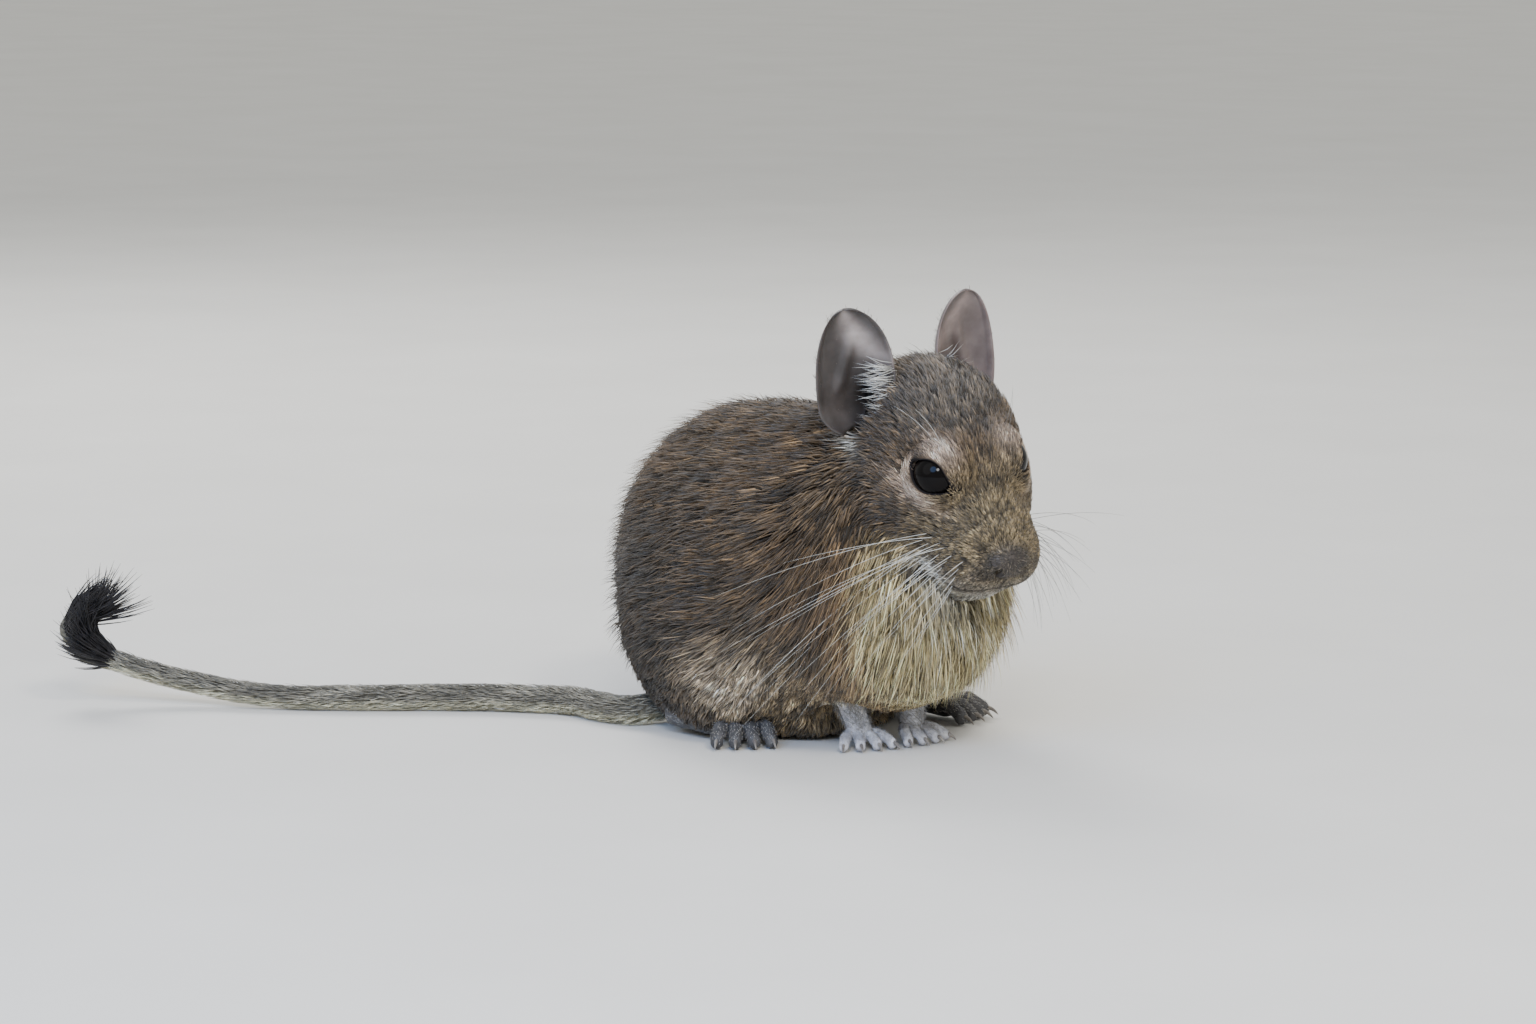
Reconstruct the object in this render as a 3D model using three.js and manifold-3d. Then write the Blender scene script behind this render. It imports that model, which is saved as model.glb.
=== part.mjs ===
// A degu at life size, crouched with its belly on the ground and its head turned a little to its left.
// Millimetres, +Z up, +X along the body towards the chest, +Y to the animal's left.
// The origin lies on the ground under the middle of the belly.
import * as THREE from "three";
import { mergeVertices } from "three/addons/utils/BufferGeometryUtils.js";
import Module from "manifold-3d";

const wasm = await Module();
wasm.setup();

// Driving sizes of the body, with its coat.
const BODY_LENGTH = 106;
const BODY_WIDTH = 62;
const BODY_HEIGHT = 70;
const SEAM = 0.3;
const ROOT_DEPTH = 2.5;

// The head: the middle of the skull, how it is turned, and its length from nose to nape.
const HEAD_AT = new THREE.Vector3(36.6, 5.5, 63.4);
const HEAD_YAW = -5;
const HEAD_PITCH = 34.5;
const HEAD_ROLL = 7;
const HEAD_LENGTH = 54;

const EYE_RADIUS = 4.6;
const EYE_AT = [12.8, 8.7, 5.3];
const EYE_FACES = [0.4, 0.84, 0.38];
const LID_RADIUS = 4.15;
const LID_THICK = 0.85;
const LID_OUT = 2.7;

const EAR_HEIGHT = 25.6;
const EAR_WIDTH = 15.2;
const EAR_THICK = 1.0;
const EAR_ROOT = [-11.6, 11.0, -4.4];
const EAR_ROOT_DEG = -62;
const EAR_RISES = [-0.48, 0.13, 0.85];
const EAR_FACES = [0.8, 0.36, 0.45];

const MOUTH_WIDTH_DEG = 74;
const GROOVE = 0.6;
const LIP = 0.9;
const NOSTRIL_RADIUS = 0.85;

const HIND_TOE_LENGTH = 8.5;
const HIND_TOE_RADIUS = 1.35;
const FORE_TOE_LENGTH = 6.5;
const FORE_TOE_RADIUS = 1.05;
const CLAW_LENGTH = 1.9;

const TAIL_RADIUS = 3.5;
const TAIL_END_RADIUS = 1.5;
const TUFT_LENGTH = 17;
const TUFT_LOCKS = 20;
const TUFT_CORE = 2.5;
const LOCK_LENGTH = 12.5;
const LOCK_WIDTH = 4.4;
const LOCK_THICK = 1.5;

const rad = THREE.MathUtils.degToRad;
const v3 = (x, y, z) => new THREE.Vector3(x, y, z);

// Implicit forms. Each takes a point and gives its distance to a surface, negative inside.
const blend = (a, b, k) => {
  const h = THREE.MathUtils.clamp(0.5 + (0.5 * (b - a)) / k, 0, 1);
  return b + (a - b) * h - k * h * (1 - h);
};

function egg(p, [cx, cy, cz], [rx, ry, rz]) {
  const x = p.x - cx;
  const y = p.y - cy;
  const z = p.z - cz;
  const near = Math.hypot(x / rx, y / ry, z / rz);
  const far = Math.hypot(x / (rx * rx), y / (ry * ry), z / (rz * rz));
  return (near * (near - 1)) / Math.max(far, 1e-6);
}

function taper(p, a, b, ra, rb) {
  const along = b.clone().sub(a);
  const t = THREE.MathUtils.clamp(p.clone().sub(a).dot(along) / along.lengthSq(), 0, 1);
  return p.distanceTo(a.clone().addScaledVector(along, t)) - (ra + (rb - ra) * t);
}

const headTurn = new THREE.Matrix4().makeRotationFromEuler(
  new THREE.Euler(rad(HEAD_ROLL), rad(HEAD_PITCH), rad(HEAD_YAW), "ZYX"),
);
const headFrame = headTurn.clone().setPosition(HEAD_AT);
const headFrameBack = headFrame.clone().invert();
const onHead = ([x, y, z], side = 1) => v3(x, y * side, z).applyMatrix4(headFrame);
const headWay = ([x, y, z], side = 1) => v3(x, y * side, z).normalize().applyMatrix4(headTurn);

const L = HEAD_LENGTH / 54;
const MUZZLE = { from: v3(8 * L, 0, -2 * L), to: v3(23 * L, 0, -6.0 * L) };

const toHead = (p) => p.clone().applyMatrix4(headFrameBack);

// The nape runs into the back of the skull and ends a little under its surface.
const napeForm = (q) => egg(q, [-5 * L, 0, -2 * L], [15 * L, 13.6 * L, 11 * L]);

function headForm(p) {
  const q = toHead(p);
  const m = v3(q.x, Math.abs(q.y), q.z);
  let d = egg(q, [-2 * L, 0, 0], [19 * L, 16 * L, 14.5 * L]);
  d = blend(d, taper(q, MUZZLE.from, MUZZLE.to, 13 * L, 9.3 * L), 5);
  d = blend(d, egg(m, [4 * L, 8 * L, -8 * L], [15 * L, 9 * L, 10.5 * L]), 6);
  d = blend(d, egg(m, [22.5 * L, 5.6 * L, -8.2 * L], [8 * L, 5.6 * L, 6.2 * L]), 4);
  d = blend(d, egg(q, [16.5 * L, 0, -13.5 * L], [9 * L, 5.5 * L, 4.5 * L]), 5);
  d = blend(d, egg(q, [30.6 * L, 0, -3.4 * L], [2.4 * L, 3.6 * L, 3.0 * L]), 2);
  return blend(d, egg(m, [11.2 * L, 7.2 * L, 5.2 * L], [6.8 * L, 4.7 * L, 5.9 * L]), 4);
}

const A = BODY_LENGTH / 106;
const W = BODY_WIDTH / 62;
const H = BODY_HEIGHT / 70;
const NAPE = { from: v3(14 * A, 2, 44 * H), to: onHead([-6, 0, -5]) };

function torsoForm(p) {
  let d = egg(p, [-14 * A, 0, 33 * H], [37 * A, 31 * W, 35 * H]);
  d = blend(d, egg(p, [8 * A, 1, 37 * H], [35 * A, 30 * W, 32 * H]), 8);
  d = blend(d, egg(p, [25.5 * A, 5, 33 * H], [20 * A, 21 * W, 24 * H]), 8);
  d = blend(d, egg(p, [-8 * A, 0, 11 * H], [24 * A, 22 * W, 15 * H]), 8);
  d = blend(d, taper(p, NAPE.from, NAPE.to, 22, 15), 10);
  return blend(d, napeForm(toHead(p)), 7);
}

function bodyForm(p) {
  const m = v3(p.x, Math.abs(p.y), p.z);
  return blend(torsoForm(p), egg(m, [-8 * A, 22 * W, 24 * H], [25 * A, 11 * W, 23 * H]), 6);
}


// Solids. A closed geometry becomes a manifold once its shared vertices are merged.
function solid(geometry) {
  const bare = geometry.index ? geometry.toNonIndexed() : geometry.clone();
  bare.deleteAttribute("normal");
  bare.deleteAttribute("uv");
  const merged = mergeVertices(bare, 1e-4);
  const corners = new Uint32Array(merged.index.array);
  const kept = [];
  for (let i = 0; i < corners.length; i += 3) {
    const [a, b, c] = [corners[i], corners[i + 1], corners[i + 2]];
    if (a !== b && b !== c && a !== c) kept.push(a, b, c);
  }
  const made = new wasm.Manifold(
    new wasm.Mesh({
      numProp: 3,
      vertProperties: new Float32Array(merged.attributes.position.array),
      triVerts: new Uint32Array(kept),
    }),
  );
  if (made.volume() > 0) return made;
  for (let i = 0; i < kept.length; i += 3) [kept[i + 1], kept[i + 2]] = [kept[i + 2], kept[i + 1]];
  return new wasm.Manifold(
    new wasm.Mesh({
      numProp: 3,
      vertProperties: new Float32Array(merged.attributes.position.array),
      triVerts: new Uint32Array(kept),
    }),
  );
}

const join = (pieces) => pieces.reduce((all, piece) => all.add(piece));
const largest = (made) => made.decompose().sort((a, b) => b.volume() - a.volume())[0];

// The surface of a form seen from a centre: each vertex of a ball moves out to where the form ends.
function cast(form, centre, pole, { around, along, reach = 90 }) {
  const ball = new THREE.SphereGeometry(1, around, along);
  const turn = new THREE.Quaternion().setFromUnitVectors(v3(0, 1, 0), pole.clone().normalize());
  const at = ball.attributes.position;
  for (let i = 0; i < at.count; i++) {
    const way = v3().fromBufferAttribute(at, i).applyQuaternion(turn);
    let near = 0;
    let far = 2;
    while (far < reach && form(centre.clone().addScaledVector(way, far)) < 0) {
      near = far;
      far += 1.5;
    }
    for (let k = 0; k < 14; k++) {
      const middle = (near + far) / 2;
      if (form(centre.clone().addScaledVector(way, middle)) < 0) near = middle;
      else far = middle;
    }
    const end = centre.clone().addScaledVector(way, near);
    at.setXYZ(i, end.x, end.y, end.z);
  }
  return solid(ball);
}

// A ball stretched to an egg and set in a frame.
function eggSolid(radii, frame, around = 20, along = 14) {
  return solid(new THREE.SphereGeometry(1, around, along).scale(...radii).applyMatrix4(frame));
}

// A closed skin over rings of points, with a point at each end.
function loft(rings, start, end) {
  const n = rings[0].length;
  const points = [start, ...rings.flat(), end];
  const faces = [];
  for (let j = 0; j < n; j++) {
    const k = (j + 1) % n;
    faces.push(0, 1 + k, 1 + j);
    for (let i = 0; i + 1 < rings.length; i++) {
      const a = 1 + i * n;
      faces.push(a + j, a + k, a + n + k, a + j, a + n + k, a + n + j);
    }
    const last = 1 + (rings.length - 1) * n;
    faces.push(points.length - 1, last + j, last + k);
  }
  const geometry = new THREE.BufferGeometry().setFromPoints(points).setIndex(faces);
  return solid(geometry);
}

// A rounded limb between two points: a lathed profile of two arcs and the line between them.
function limb(a, b, ra, rb, sides = 7) {
  const length = a.distanceTo(b);
  const lean = Math.asin(THREE.MathUtils.clamp((ra - rb) / length, -0.9, 0.9));
  const arc = (r, from, to, at) =>
    [0, 0.55, 1].map((t) => {
      const angle = from + (to - from) * t;
      return new THREE.Vector2(Math.cos(angle) * r, at + Math.sin(angle) * r);
    });
  const profile = [...arc(ra, -Math.PI / 2, lean, 0), ...arc(rb, lean, Math.PI / 2, length)];
  profile[0].x = 0;
  profile[profile.length - 1].x = 0;
  const turn = new THREE.Quaternion().setFromUnitVectors(v3(0, 1, 0), b.clone().sub(a).normalize());
  return solid(new THREE.LatheGeometry(profile, sides).applyQuaternion(turn).translate(a.x, a.y, a.z));
}

// A tube through points, each with its own radius, closed by a point at each end.
function tube(points, radii, sides = 7) {
  const rings = points.map((at, i) => {
    const before = points[Math.max(i - 1, 0)];
    const after = points[Math.min(i + 1, points.length - 1)];
    const along = after.clone().sub(before).normalize();
    const side = v3().crossVectors(Math.abs(along.z) < 0.9 ? v3(0, 0, 1) : v3(1, 0, 0), along).normalize();
    return ring({ at, side, up: v3().crossVectors(along, side) }, radii[i], radii[i], sides);
  });
  return loft(rings, points[0], points[points.length - 1]);
}

// Everything below the ground is taken off, which leaves small flats to rest on.
const GROUND = solid(new THREE.BoxGeometry(400, 400, 60).translate(0, 0, -30));
const grounded = (made) => made.subtract(GROUND);

// The zones that part the body: each node is what its zone holds of the whole.
const place = (x, y, z, turn = new THREE.Matrix4()) => turn.clone().setPosition(x, y, z);
const grow = (radii, by) => radii.map((r) => r + by);
const neckZone = (by) => eggSolid(grow([39, 31, 32], by), place(...onHead([0, 0, -5]).toArray(), headTurn), 22, 16);
const hipZone = (side, by) => eggSolid(grow([26, 17, 25], by), place(-10 * A, side * 29 * W, 21 * H), 20, 14);
const armZone = (side, by) => eggSolid(grow([9, 7.5, 11], by), place(...ELBOW[side].toArray()), 16, 12);

// The limbs' own places, which differ a little from side to side as in the pose.
const SIDES = { left: 1, right: -1 };
const ELBOW = { 1: v3(22, 13, 21), "-1": v3(19, -9.5, 21) };
const WRIST = { 1: v3(21.5, 9.5, 11), "-1": v3(19.5, -5.4, 11) };
const FORE_BALL = { 1: v3(21.5, 9.6, 3.2), "-1": v3(20.5, -2.6, 3.2) };
const FORE_HEADING = { 1: 6, "-1": -18 };
const ANKLE = { 1: v3(-14, 26, 5), "-1": v3(-14, -25, 5) };
const HIND_BALL = { 1: v3(6, 30, 3.6), "-1": v3(3.5, -20.5, 3.6) };
const HIND_HEADING = { 1: 28, "-1": -30 };

// Toes fan out from the ball of the foot, each of two bones and a claw.
function toes(ball, heading, spread, length, radius, count, grown) {
  const pieces = [];
  const across = v3(-Math.sin(rad(heading)), Math.cos(rad(heading)), 0);
  for (let i = 0; i < count; i++) {
    const place = i - (count - 1) / 2;
    const angle = rad(heading + spread * place);
    const way = v3(Math.cos(angle), Math.sin(angle), 0);
    const reach = length * (1 - 0.07 * Math.abs(place));
    const root = ball.clone().addScaledVector(across, place * radius * 1.1);
    const knuckle = ball.clone().addScaledVector(across, place * radius * 1.75).addScaledVector(way, reach * 0.45);
    const tip = ball.clone().addScaledVector(across, place * radius * 1.9).addScaledVector(way, reach);
    knuckle.z = radius * 1.9;
    tip.z = radius * 0.85;
    const pad = knuckle.clone().lerp(tip, 0.75);
    const wide = radius + grown;
    pieces.push(tube([root, knuckle, pad, tip], [wide, wide, wide * 0.95, wide * 0.5], 7));
    const clawRoot = tip.clone().addScaledVector(way, -radius).add(v3(0, 0, radius * 0.35));
    const clawTip = tip.clone().addScaledVector(way, CLAW_LENGTH).add(v3(0, 0, -radius * 0.2));
    pieces.push(tube([clawRoot, tip.clone().add(v3(0, 0, radius * 0.4)), clawTip], [0.5, 0.5, 0.22], 5));
  }
  return pieces;
}

function hindFoot(side, grown = 0) {
  const ball = HIND_BALL[side];
  const heel = limb(ANKLE[side], ball, 3.6 + grown, 3.1 + grown, 10);
  const fan = toes(ball, HIND_HEADING[side], 9, HIND_TOE_LENGTH, HIND_TOE_RADIUS, 4, grown);
  return grounded(join([heel, ...fan]));
}

function foreFoot(side, grown = 0) {
  const ball = FORE_BALL[side];
  const wrist = limb(WRIST[side], ball, 2.7 + grown, 2.4 + grown, 10);
  const fan = toes(ball, FORE_HEADING[side], 17, FORE_TOE_LENGTH, FORE_TOE_RADIUS, 4, grown);
  return grounded(join([wrist, ...fan]));
}

const foreArm = (side, grown = 0) =>
  limb(ELBOW[side], WRIST[side], 6 + grown, 2.9 + grown, 12);

// The tail lies along the ground behind the right hip, then lifts and turns up at its tip.
const tailPath = new THREE.CatmullRomCurve3(
  [
    v3(-24, -8, 7),
    v3(-24.5, -19, 4.3),
    v3(-26, -27, 3.3),
    v3(-32, -30.5, 3.2),
    v3(-41, -32, 3.2),
    v3(-50, -38, 3.1),
    v3(-61, -50, 3),
    v3(-73, -67, 2.9),
    v3(-84, -80, 2.9),
    v3(-97, -91.5, 4.8),
    v3(-107, -103, 8.5),
    v3(-113, -111.5, 12.5),
    v3(-115.5, -114, 16),
    v3(-115, -113.2, 18.5),
  ],
  false,
  "centripetal",
);
const TAIL_LENGTH = tailPath.getLength();
const tailRadius = (t) => THREE.MathUtils.lerp(TAIL_RADIUS, TAIL_END_RADIUS, t);

// A frame at a share of the tail's length: where it is, along it, to its side and up.
function tailFrame(t) {
  const at = tailPath.getPointAt(t);
  const along = tailPath.getTangentAt(t);
  const side = v3().crossVectors(v3(0, 0, 1), along);
  if (side.lengthSq() < 0.02) side.set(-0.82, 0.57, 0);
  side.normalize();
  return { at, along, side, up: v3().crossVectors(along, side) };
}

function ring({ at, side, up }, wide, thick, count) {
  return Array.from({ length: count }, (_, j) => {
    const angle = (2 * Math.PI * j) / count;
    return at
      .clone()
      .addScaledVector(side, Math.cos(angle) * wide)
      .addScaledVector(up, Math.sin(angle) * thick);
  });
}

function tailLength(from, to, steps, sides = 10) {
  const frames = Array.from({ length: steps + 1 }, (_, i) => tailFrame(from + ((to - from) * i) / steps));
  const rings = frames.map((frame, i) => {
    const r = tailRadius(from + ((to - from) * i) / steps);
    return ring(frame, r, r, sides);
  });
  return grounded(loft(rings, frames[0].at, frames[steps].at));
}

// Seeded draws, so that the locks vary the same way each time.
let seed = 11;
const draw = () => {
  seed = (seed * 16807) % 2147483647;
  return seed / 2147483647;
};

// A flat lock of bristles: it leaves the tail at an angle and bends back along it.
function lock(root, out, sweep, flat, length) {
  const bend = new THREE.QuadraticBezierCurve3(
    root.clone().addScaledVector(out, -1.1),
    root.clone().addScaledVector(out, length * 0.2).addScaledVector(sweep, length * 0.35),
    root.clone().addScaledVector(out, length * 0.26).addScaledVector(sweep, length),
  );
  const rings = [0.02, 0.35, 0.7].map((t) => {
    const along = bend.getTangent(t);
    const side = flat.clone().addScaledVector(along, -flat.dot(along)).normalize();
    const up = v3().crossVectors(along, side);
    const wide = (LOCK_WIDTH / 2) * Math.sin(Math.PI * (0.25 + 0.62 * t));
    return ring({ at: bend.getPoint(t), side, up }, wide, (LOCK_THICK / 2) * (1 - 0.55 * t), 4);
  });
  return loft(rings, bend.getPoint(0), bend.getPoint(1));
}

const TUFT_FROM = 1 - TUFT_LENGTH / TAIL_LENGTH;
const TUFT_SWEEP = v3(0.53, 0.76, 0.36);

function tailTuft() {
  const steps = Array.from({ length: 7 }, (_, i) => TUFT_FROM + ((1 - TUFT_FROM) * i) / 6);
  const core = (t) => tailRadius(t) + (TUFT_CORE - TAIL_END_RADIUS) * Math.sin((Math.PI * (t - TUFT_FROM)) / (1 - TUFT_FROM));
  const rings = steps.map((t) => ring(tailFrame(t), core(t), core(t), 8));
  const pieces = [loft(rings, tailFrame(TUFT_FROM).at, tailFrame(1).at)];
  const golden = Math.PI * (3 - Math.sqrt(5));
  for (let i = 0; i < TUFT_LOCKS; i++) {
    const t = TUFT_FROM + (1 - TUFT_FROM) * (0.08 + (0.9 * i) / (TUFT_LOCKS - 1));
    const { at, along, side, up } = tailFrame(t);
    const angle = i * golden + 0.3 * (draw() - 0.5);
    const out = side.clone().multiplyScalar(Math.cos(angle)).addScaledVector(up, Math.sin(angle));
    const flat = v3().crossVectors(along, out);
    const share = (t - TUFT_FROM) / (1 - TUFT_FROM);
    const sweep = along.clone().multiplyScalar(1 - 0.8 * share).addScaledVector(TUFT_SWEEP, 0.25 + 0.75 * share);
    const length = LOCK_LENGTH * (0.8 + 0.3 * draw()) * (0.75 + 0.25 * share);
    const root = at.clone().addScaledVector(out, core(t) - 0.4);
    pieces.push(lock(root, out, sweep.normalize(), flat, length));
  }
  return grounded(largest(join(pieces)));
}

// The cup of an ear: an upright oval shell, hollow towards the front, narrowing to its root.
function ear(side) {
  const rise = headWay(EAR_RISES, side);
  const faces = headWay(EAR_FACES, side);
  faces.addScaledVector(rise, -faces.dot(rise)).normalize();
  const across = v3().crossVectors(faces, rise).multiplyScalar(-side);
  const root = onHead(EAR_ROOT, side);
  const ROWS = 9;
  const COLUMNS = 12;
  const low = rad(EAR_ROOT_DEG);
  const point = (i, j, back) => {
    const t = i / ROWS;
    const s = (2 * j) / COLUMNS - 1;
    const turn = low + (Math.PI * 0.47 - low) * t;
    const height = (EAR_HEIGHT * (Math.sin(turn) - Math.sin(low))) / (1 - Math.sin(low));
    const half = (EAR_WIDTH / 2) * Math.pow(Math.cos(turn), 0.8);
    const cup = 5.2 * (1 - 0.8 * t) * (1 - s * s) + 1.5 * t * t;
    const fold = 2.6 * Math.pow(Math.max(0, s), 3) * (1 - t);
    const thin = back ? EAR_THICK * (1 - 0.45 * t) : 0;
    return root
      .clone()
      .addScaledVector(rise, height)
      .addScaledVector(across, s * half)
      .addScaledVector(faces, -cup + fold - thin);
  };
  const points = [];
  for (const back of [false, true])
    for (let i = 0; i <= ROWS; i++)
      for (let j = 0; j <= COLUMNS; j++) points.push(point(i, j, back));
  const n = COLUMNS + 1;
  const behind = (ROWS + 1) * n;
  const faceList = [];
  const quad = (a, b, c, d) => faceList.push(a, b, c, a, c, d);
  for (let i = 0; i < ROWS; i++)
    for (let j = 0; j < COLUMNS; j++) {
      const a = i * n + j;
      faceList.push(a, a + 1, a + n + 1, a, a + n + 1, a + n);
      const b = behind + a;
      faceList.push(b, b + n + 1, b + 1, b, b + n, b + n + 1);
    }
  for (let j = 0; j < COLUMNS; j++) {
    quad(j + 1, j, behind + j, behind + j + 1);
    const top = ROWS * n + j;
    quad(top, top + 1, behind + top + 1, behind + top);
  }
  for (let i = 0; i < ROWS; i++) {
    quad(i * n, (i + 1) * n, behind + (i + 1) * n, behind + i * n);
    const right = i * n + COLUMNS;
    quad(right + n, right, behind + right, behind + right + n);
  }
  return solid(new THREE.BufferGeometry().setFromPoints(points).setIndex(faceList));
}

// Grooves of the head follow its surface: the mouth under the muzzle and the cleft below the nose.
function onSurface(from, way) {
  let near = 0;
  let far = 40;
  for (let k = 0; k < 22; k++) {
    const middle = (near + far) / 2;
    if (headForm(from.clone().addScaledVector(way, middle)) < 0) near = middle;
    else far = middle;
  }
  return from.clone().addScaledVector(way, near);
}

const even = (points, radius) => tube(points, points.map(() => radius), 6);

// A line across the muzzle at a drop below its middle, from one corner of the mouth to the other.
function mouthLine(drop, lift) {
  const from = onHead([13, 0, -9]);
  return Array.from({ length: 11 }, (_, i) => {
    const angle = rad((MOUTH_WIDTH_DEG * (i - 5)) / 5);
    const way = headWay([Math.cos(angle), Math.sin(angle), drop - 0.12 * Math.cos(angle)]);
    return onSurface(from, way).addScaledVector(way, lift);
  });
}

const lips = (grown) =>
  even(mouthLine(-0.5, -0.25), LIP + grown).add(even(mouthLine(-0.78, -0.25), LIP + grown));
const mouth = () =>
  even(mouthLine(-0.64, 0), GROOVE).add(even([-0.1, -0.34, -0.72].map(onPhiltrum), GROOVE * 0.8));
const onPhiltrum = (drop) => onSurface(onHead([13, 0, -9]), headWay([1, 0, drop]));

const nostril = (side) =>
  limb(onHead([28, 1.5, -3.4], side), onHead([35, 2.5, -3.0], side), NOSTRIL_RADIUS, NOSTRIL_RADIUS, 8);

const eyeAt = (side) => onHead(EYE_AT, side);
const eyeBall = (side, grown = 0) =>
  eggSolid(grow([EYE_RADIUS, EYE_RADIUS, EYE_RADIUS], grown), new THREE.Matrix4().setPosition(eyeAt(side)), 18, 12);

function lid(side) {
  const faces = headWay(EYE_FACES, side);
  const turn = new THREE.Quaternion().setFromUnitVectors(v3(0, 0, 1), faces);
  const at = eyeAt(side).addScaledVector(faces, LID_OUT);
  const hoop = new THREE.TorusGeometry(LID_RADIUS, LID_THICK, 6, 20);
  return solid(hoop.applyQuaternion(turn).translate(at.x, at.y, at.z));
}

const headSurface = (grown) =>
  cast((p) => headForm(p) - grown, onHead([4, 0, -2]), headWay([1, 0, -0.12]), { around: 36, along: 28 });

function headNode() {
  let made = headSurface(0).add(lips(0));
  for (const side of Object.values(SIDES)) {
    made = made.add(lid(side)).subtract(eyeBall(side, SEAM)).subtract(nostril(side));
  }
  return largest(made.subtract(mouth()));
}

// Colours and finishes.
const coat = new THREE.MeshStandardMaterial({ color: 0x6f5c48, roughness: 0.92, metalness: 0 });
const pale = new THREE.MeshStandardMaterial({ color: 0xb5a184, roughness: 0.92, metalness: 0 });
const bareSkin = new THREE.MeshStandardMaterial({ color: 0x6d676a, roughness: 0.6, metalness: 0 });
const earSkin = new THREE.MeshStandardMaterial({ color: 0x77696a, roughness: 0.55, metalness: 0 });
const eyeDark = new THREE.MeshStandardMaterial({ color: 0x0d0c0f, roughness: 0.05, metalness: 0 });
const bristle = new THREE.MeshStandardMaterial({ color: 0x1d1a19, roughness: 0.8, metalness: 0 });

const degu = new THREE.Group();

function node(name, made, material) {
  const { numProp, vertProperties, triVerts } = largest(made).getMesh();
  const points = new Float32Array((vertProperties.length / numProp) * 3);
  for (let i = 0; i < points.length / 3; i++) {
    points.set(vertProperties.subarray(i * numProp, i * numProp + 3), i * 3);
  }
  const geometry = new THREE.BufferGeometry();
  geometry.setAttribute("position", new THREE.BufferAttribute(points, 3));
  geometry.setIndex(new THREE.BufferAttribute(triVerts, 1));
  geometry.computeVertexNormals();
  const mesh = new THREE.Mesh(geometry, material);
  mesh.name = name;
  degu.add(mesh);
}

const bodyCast = cast(bodyForm, v3(0, 1, 36 * H), v3(1, 0, 0), { around: 36, along: 24 });
const body = grounded(bodyCast);
const tailStub = loft(
  [0, 0.06, 0.13, 0.2].map((t) => ring(tailFrame(t), tailRadius(t) + SEAM, tailRadius(t) + SEAM, 10)),
  tailFrame(0).at,
  tailFrame(0.2).at,
);

const headGrown = headSurface(SEAM).add(lips(SEAM));
const bodyGrown = cast((p) => bodyForm(p) - SEAM, v3(0, 1, 36 * H), v3(1, 0, 0), { around: 36, along: 24 });
let torso = body.subtract(neckZone(SEAM)).subtract(headGrown);
const neck = body.intersect(neckZone(0)).subtract(headGrown);

for (const [word, side] of Object.entries(SIDES)) {
  const footCut = hindFoot(side, SEAM);
  const pawCut = foreFoot(side, SEAM);
  const hip = body.intersect(hipZone(side, 0)).subtract(neckZone(SEAM));
  const arm = grounded(foreArm(side));
  node("hind_leg_" + word, hip.subtract(footCut).subtract(tailStub), coat);
  node("hind_foot_" + word, hindFoot(side), bareSkin);
  node("foreleg_" + word, arm.subtract(pawCut), pale);
  node("forefoot_" + word, foreFoot(side), bareSkin);
  torso = torso.subtract(hipZone(side, SEAM)).subtract(footCut).subtract(pawCut);
  torso = torso.subtract(grounded(foreArm(side, SEAM)));
  node("ear_" + word, ear(side).subtract(headGrown).subtract(bodyGrown), earSkin);
  node("eye_" + word, eyeBall(side), eyeDark);
}
node("head", headNode(), coat);
node("neck", neck, coat);
node("torso", torso.subtract(tailStub), coat);
node("tail_base", tailLength(0.05, 0.36, 7).subtract(body.subtract(tailStub)), coat);
node("tail_middle", tailLength(0.363, TUFT_FROM - 0.17, 8), coat);
node("tail_tip", tailLength(TUFT_FROM - 0.167, TUFT_FROM - 0.003, 4), pale);
node("tail_tuft", tailTuft(), bristle);

export default degu;
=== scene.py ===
from math import cos, pi, radians, sin

import bpy
import numpy as np
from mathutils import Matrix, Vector, kdtree


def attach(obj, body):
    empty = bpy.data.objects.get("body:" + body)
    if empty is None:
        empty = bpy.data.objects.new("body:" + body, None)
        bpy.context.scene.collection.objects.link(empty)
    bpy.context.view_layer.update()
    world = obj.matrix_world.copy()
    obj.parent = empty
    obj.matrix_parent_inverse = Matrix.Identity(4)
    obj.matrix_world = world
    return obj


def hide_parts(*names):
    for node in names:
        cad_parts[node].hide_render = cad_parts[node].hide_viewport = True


# A degu, life size, crouched with its belly on the ground and its head turned a little.
# Places and sizes are in millimetres on the frame's axes, and MM takes them to metres.

MM = 0.001
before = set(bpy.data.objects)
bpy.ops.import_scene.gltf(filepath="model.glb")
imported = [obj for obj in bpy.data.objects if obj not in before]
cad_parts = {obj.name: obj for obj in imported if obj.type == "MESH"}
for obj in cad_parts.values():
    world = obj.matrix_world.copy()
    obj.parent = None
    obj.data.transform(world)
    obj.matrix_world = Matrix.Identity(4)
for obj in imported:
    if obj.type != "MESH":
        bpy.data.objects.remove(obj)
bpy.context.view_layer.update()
draw = np.random.default_rng(7)
# The animal's own sides, as the signs of Y.
SIDES = {"left": 1, "right": -1}


# The camera, at the picture's height and side, with the animal at the same place. In metres.

AZIMUTH = radians(55)
ELEVATION = radians(8.5)
CAMERA_BACK = 1.0
LENS = 112.5
PIXELS_TO_A_METRE = 4800
ORIGIN_RIGHT = 45
ORIGIN_DOWN = 218
ASIDE = Vector((cos(AZIMUTH), sin(AZIMUTH), 0))
BACK = Vector((sin(AZIMUTH) * cos(ELEVATION), -cos(AZIMUTH) * cos(ELEVATION), sin(ELEVATION)))
ABOVE = BACK.cross(ASIDE)


def placed(name, data):
    """An object made from its data, in the scene."""
    made = bpy.data.objects.new(name, data)
    bpy.context.scene.collection.objects.link(made)
    return made


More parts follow.
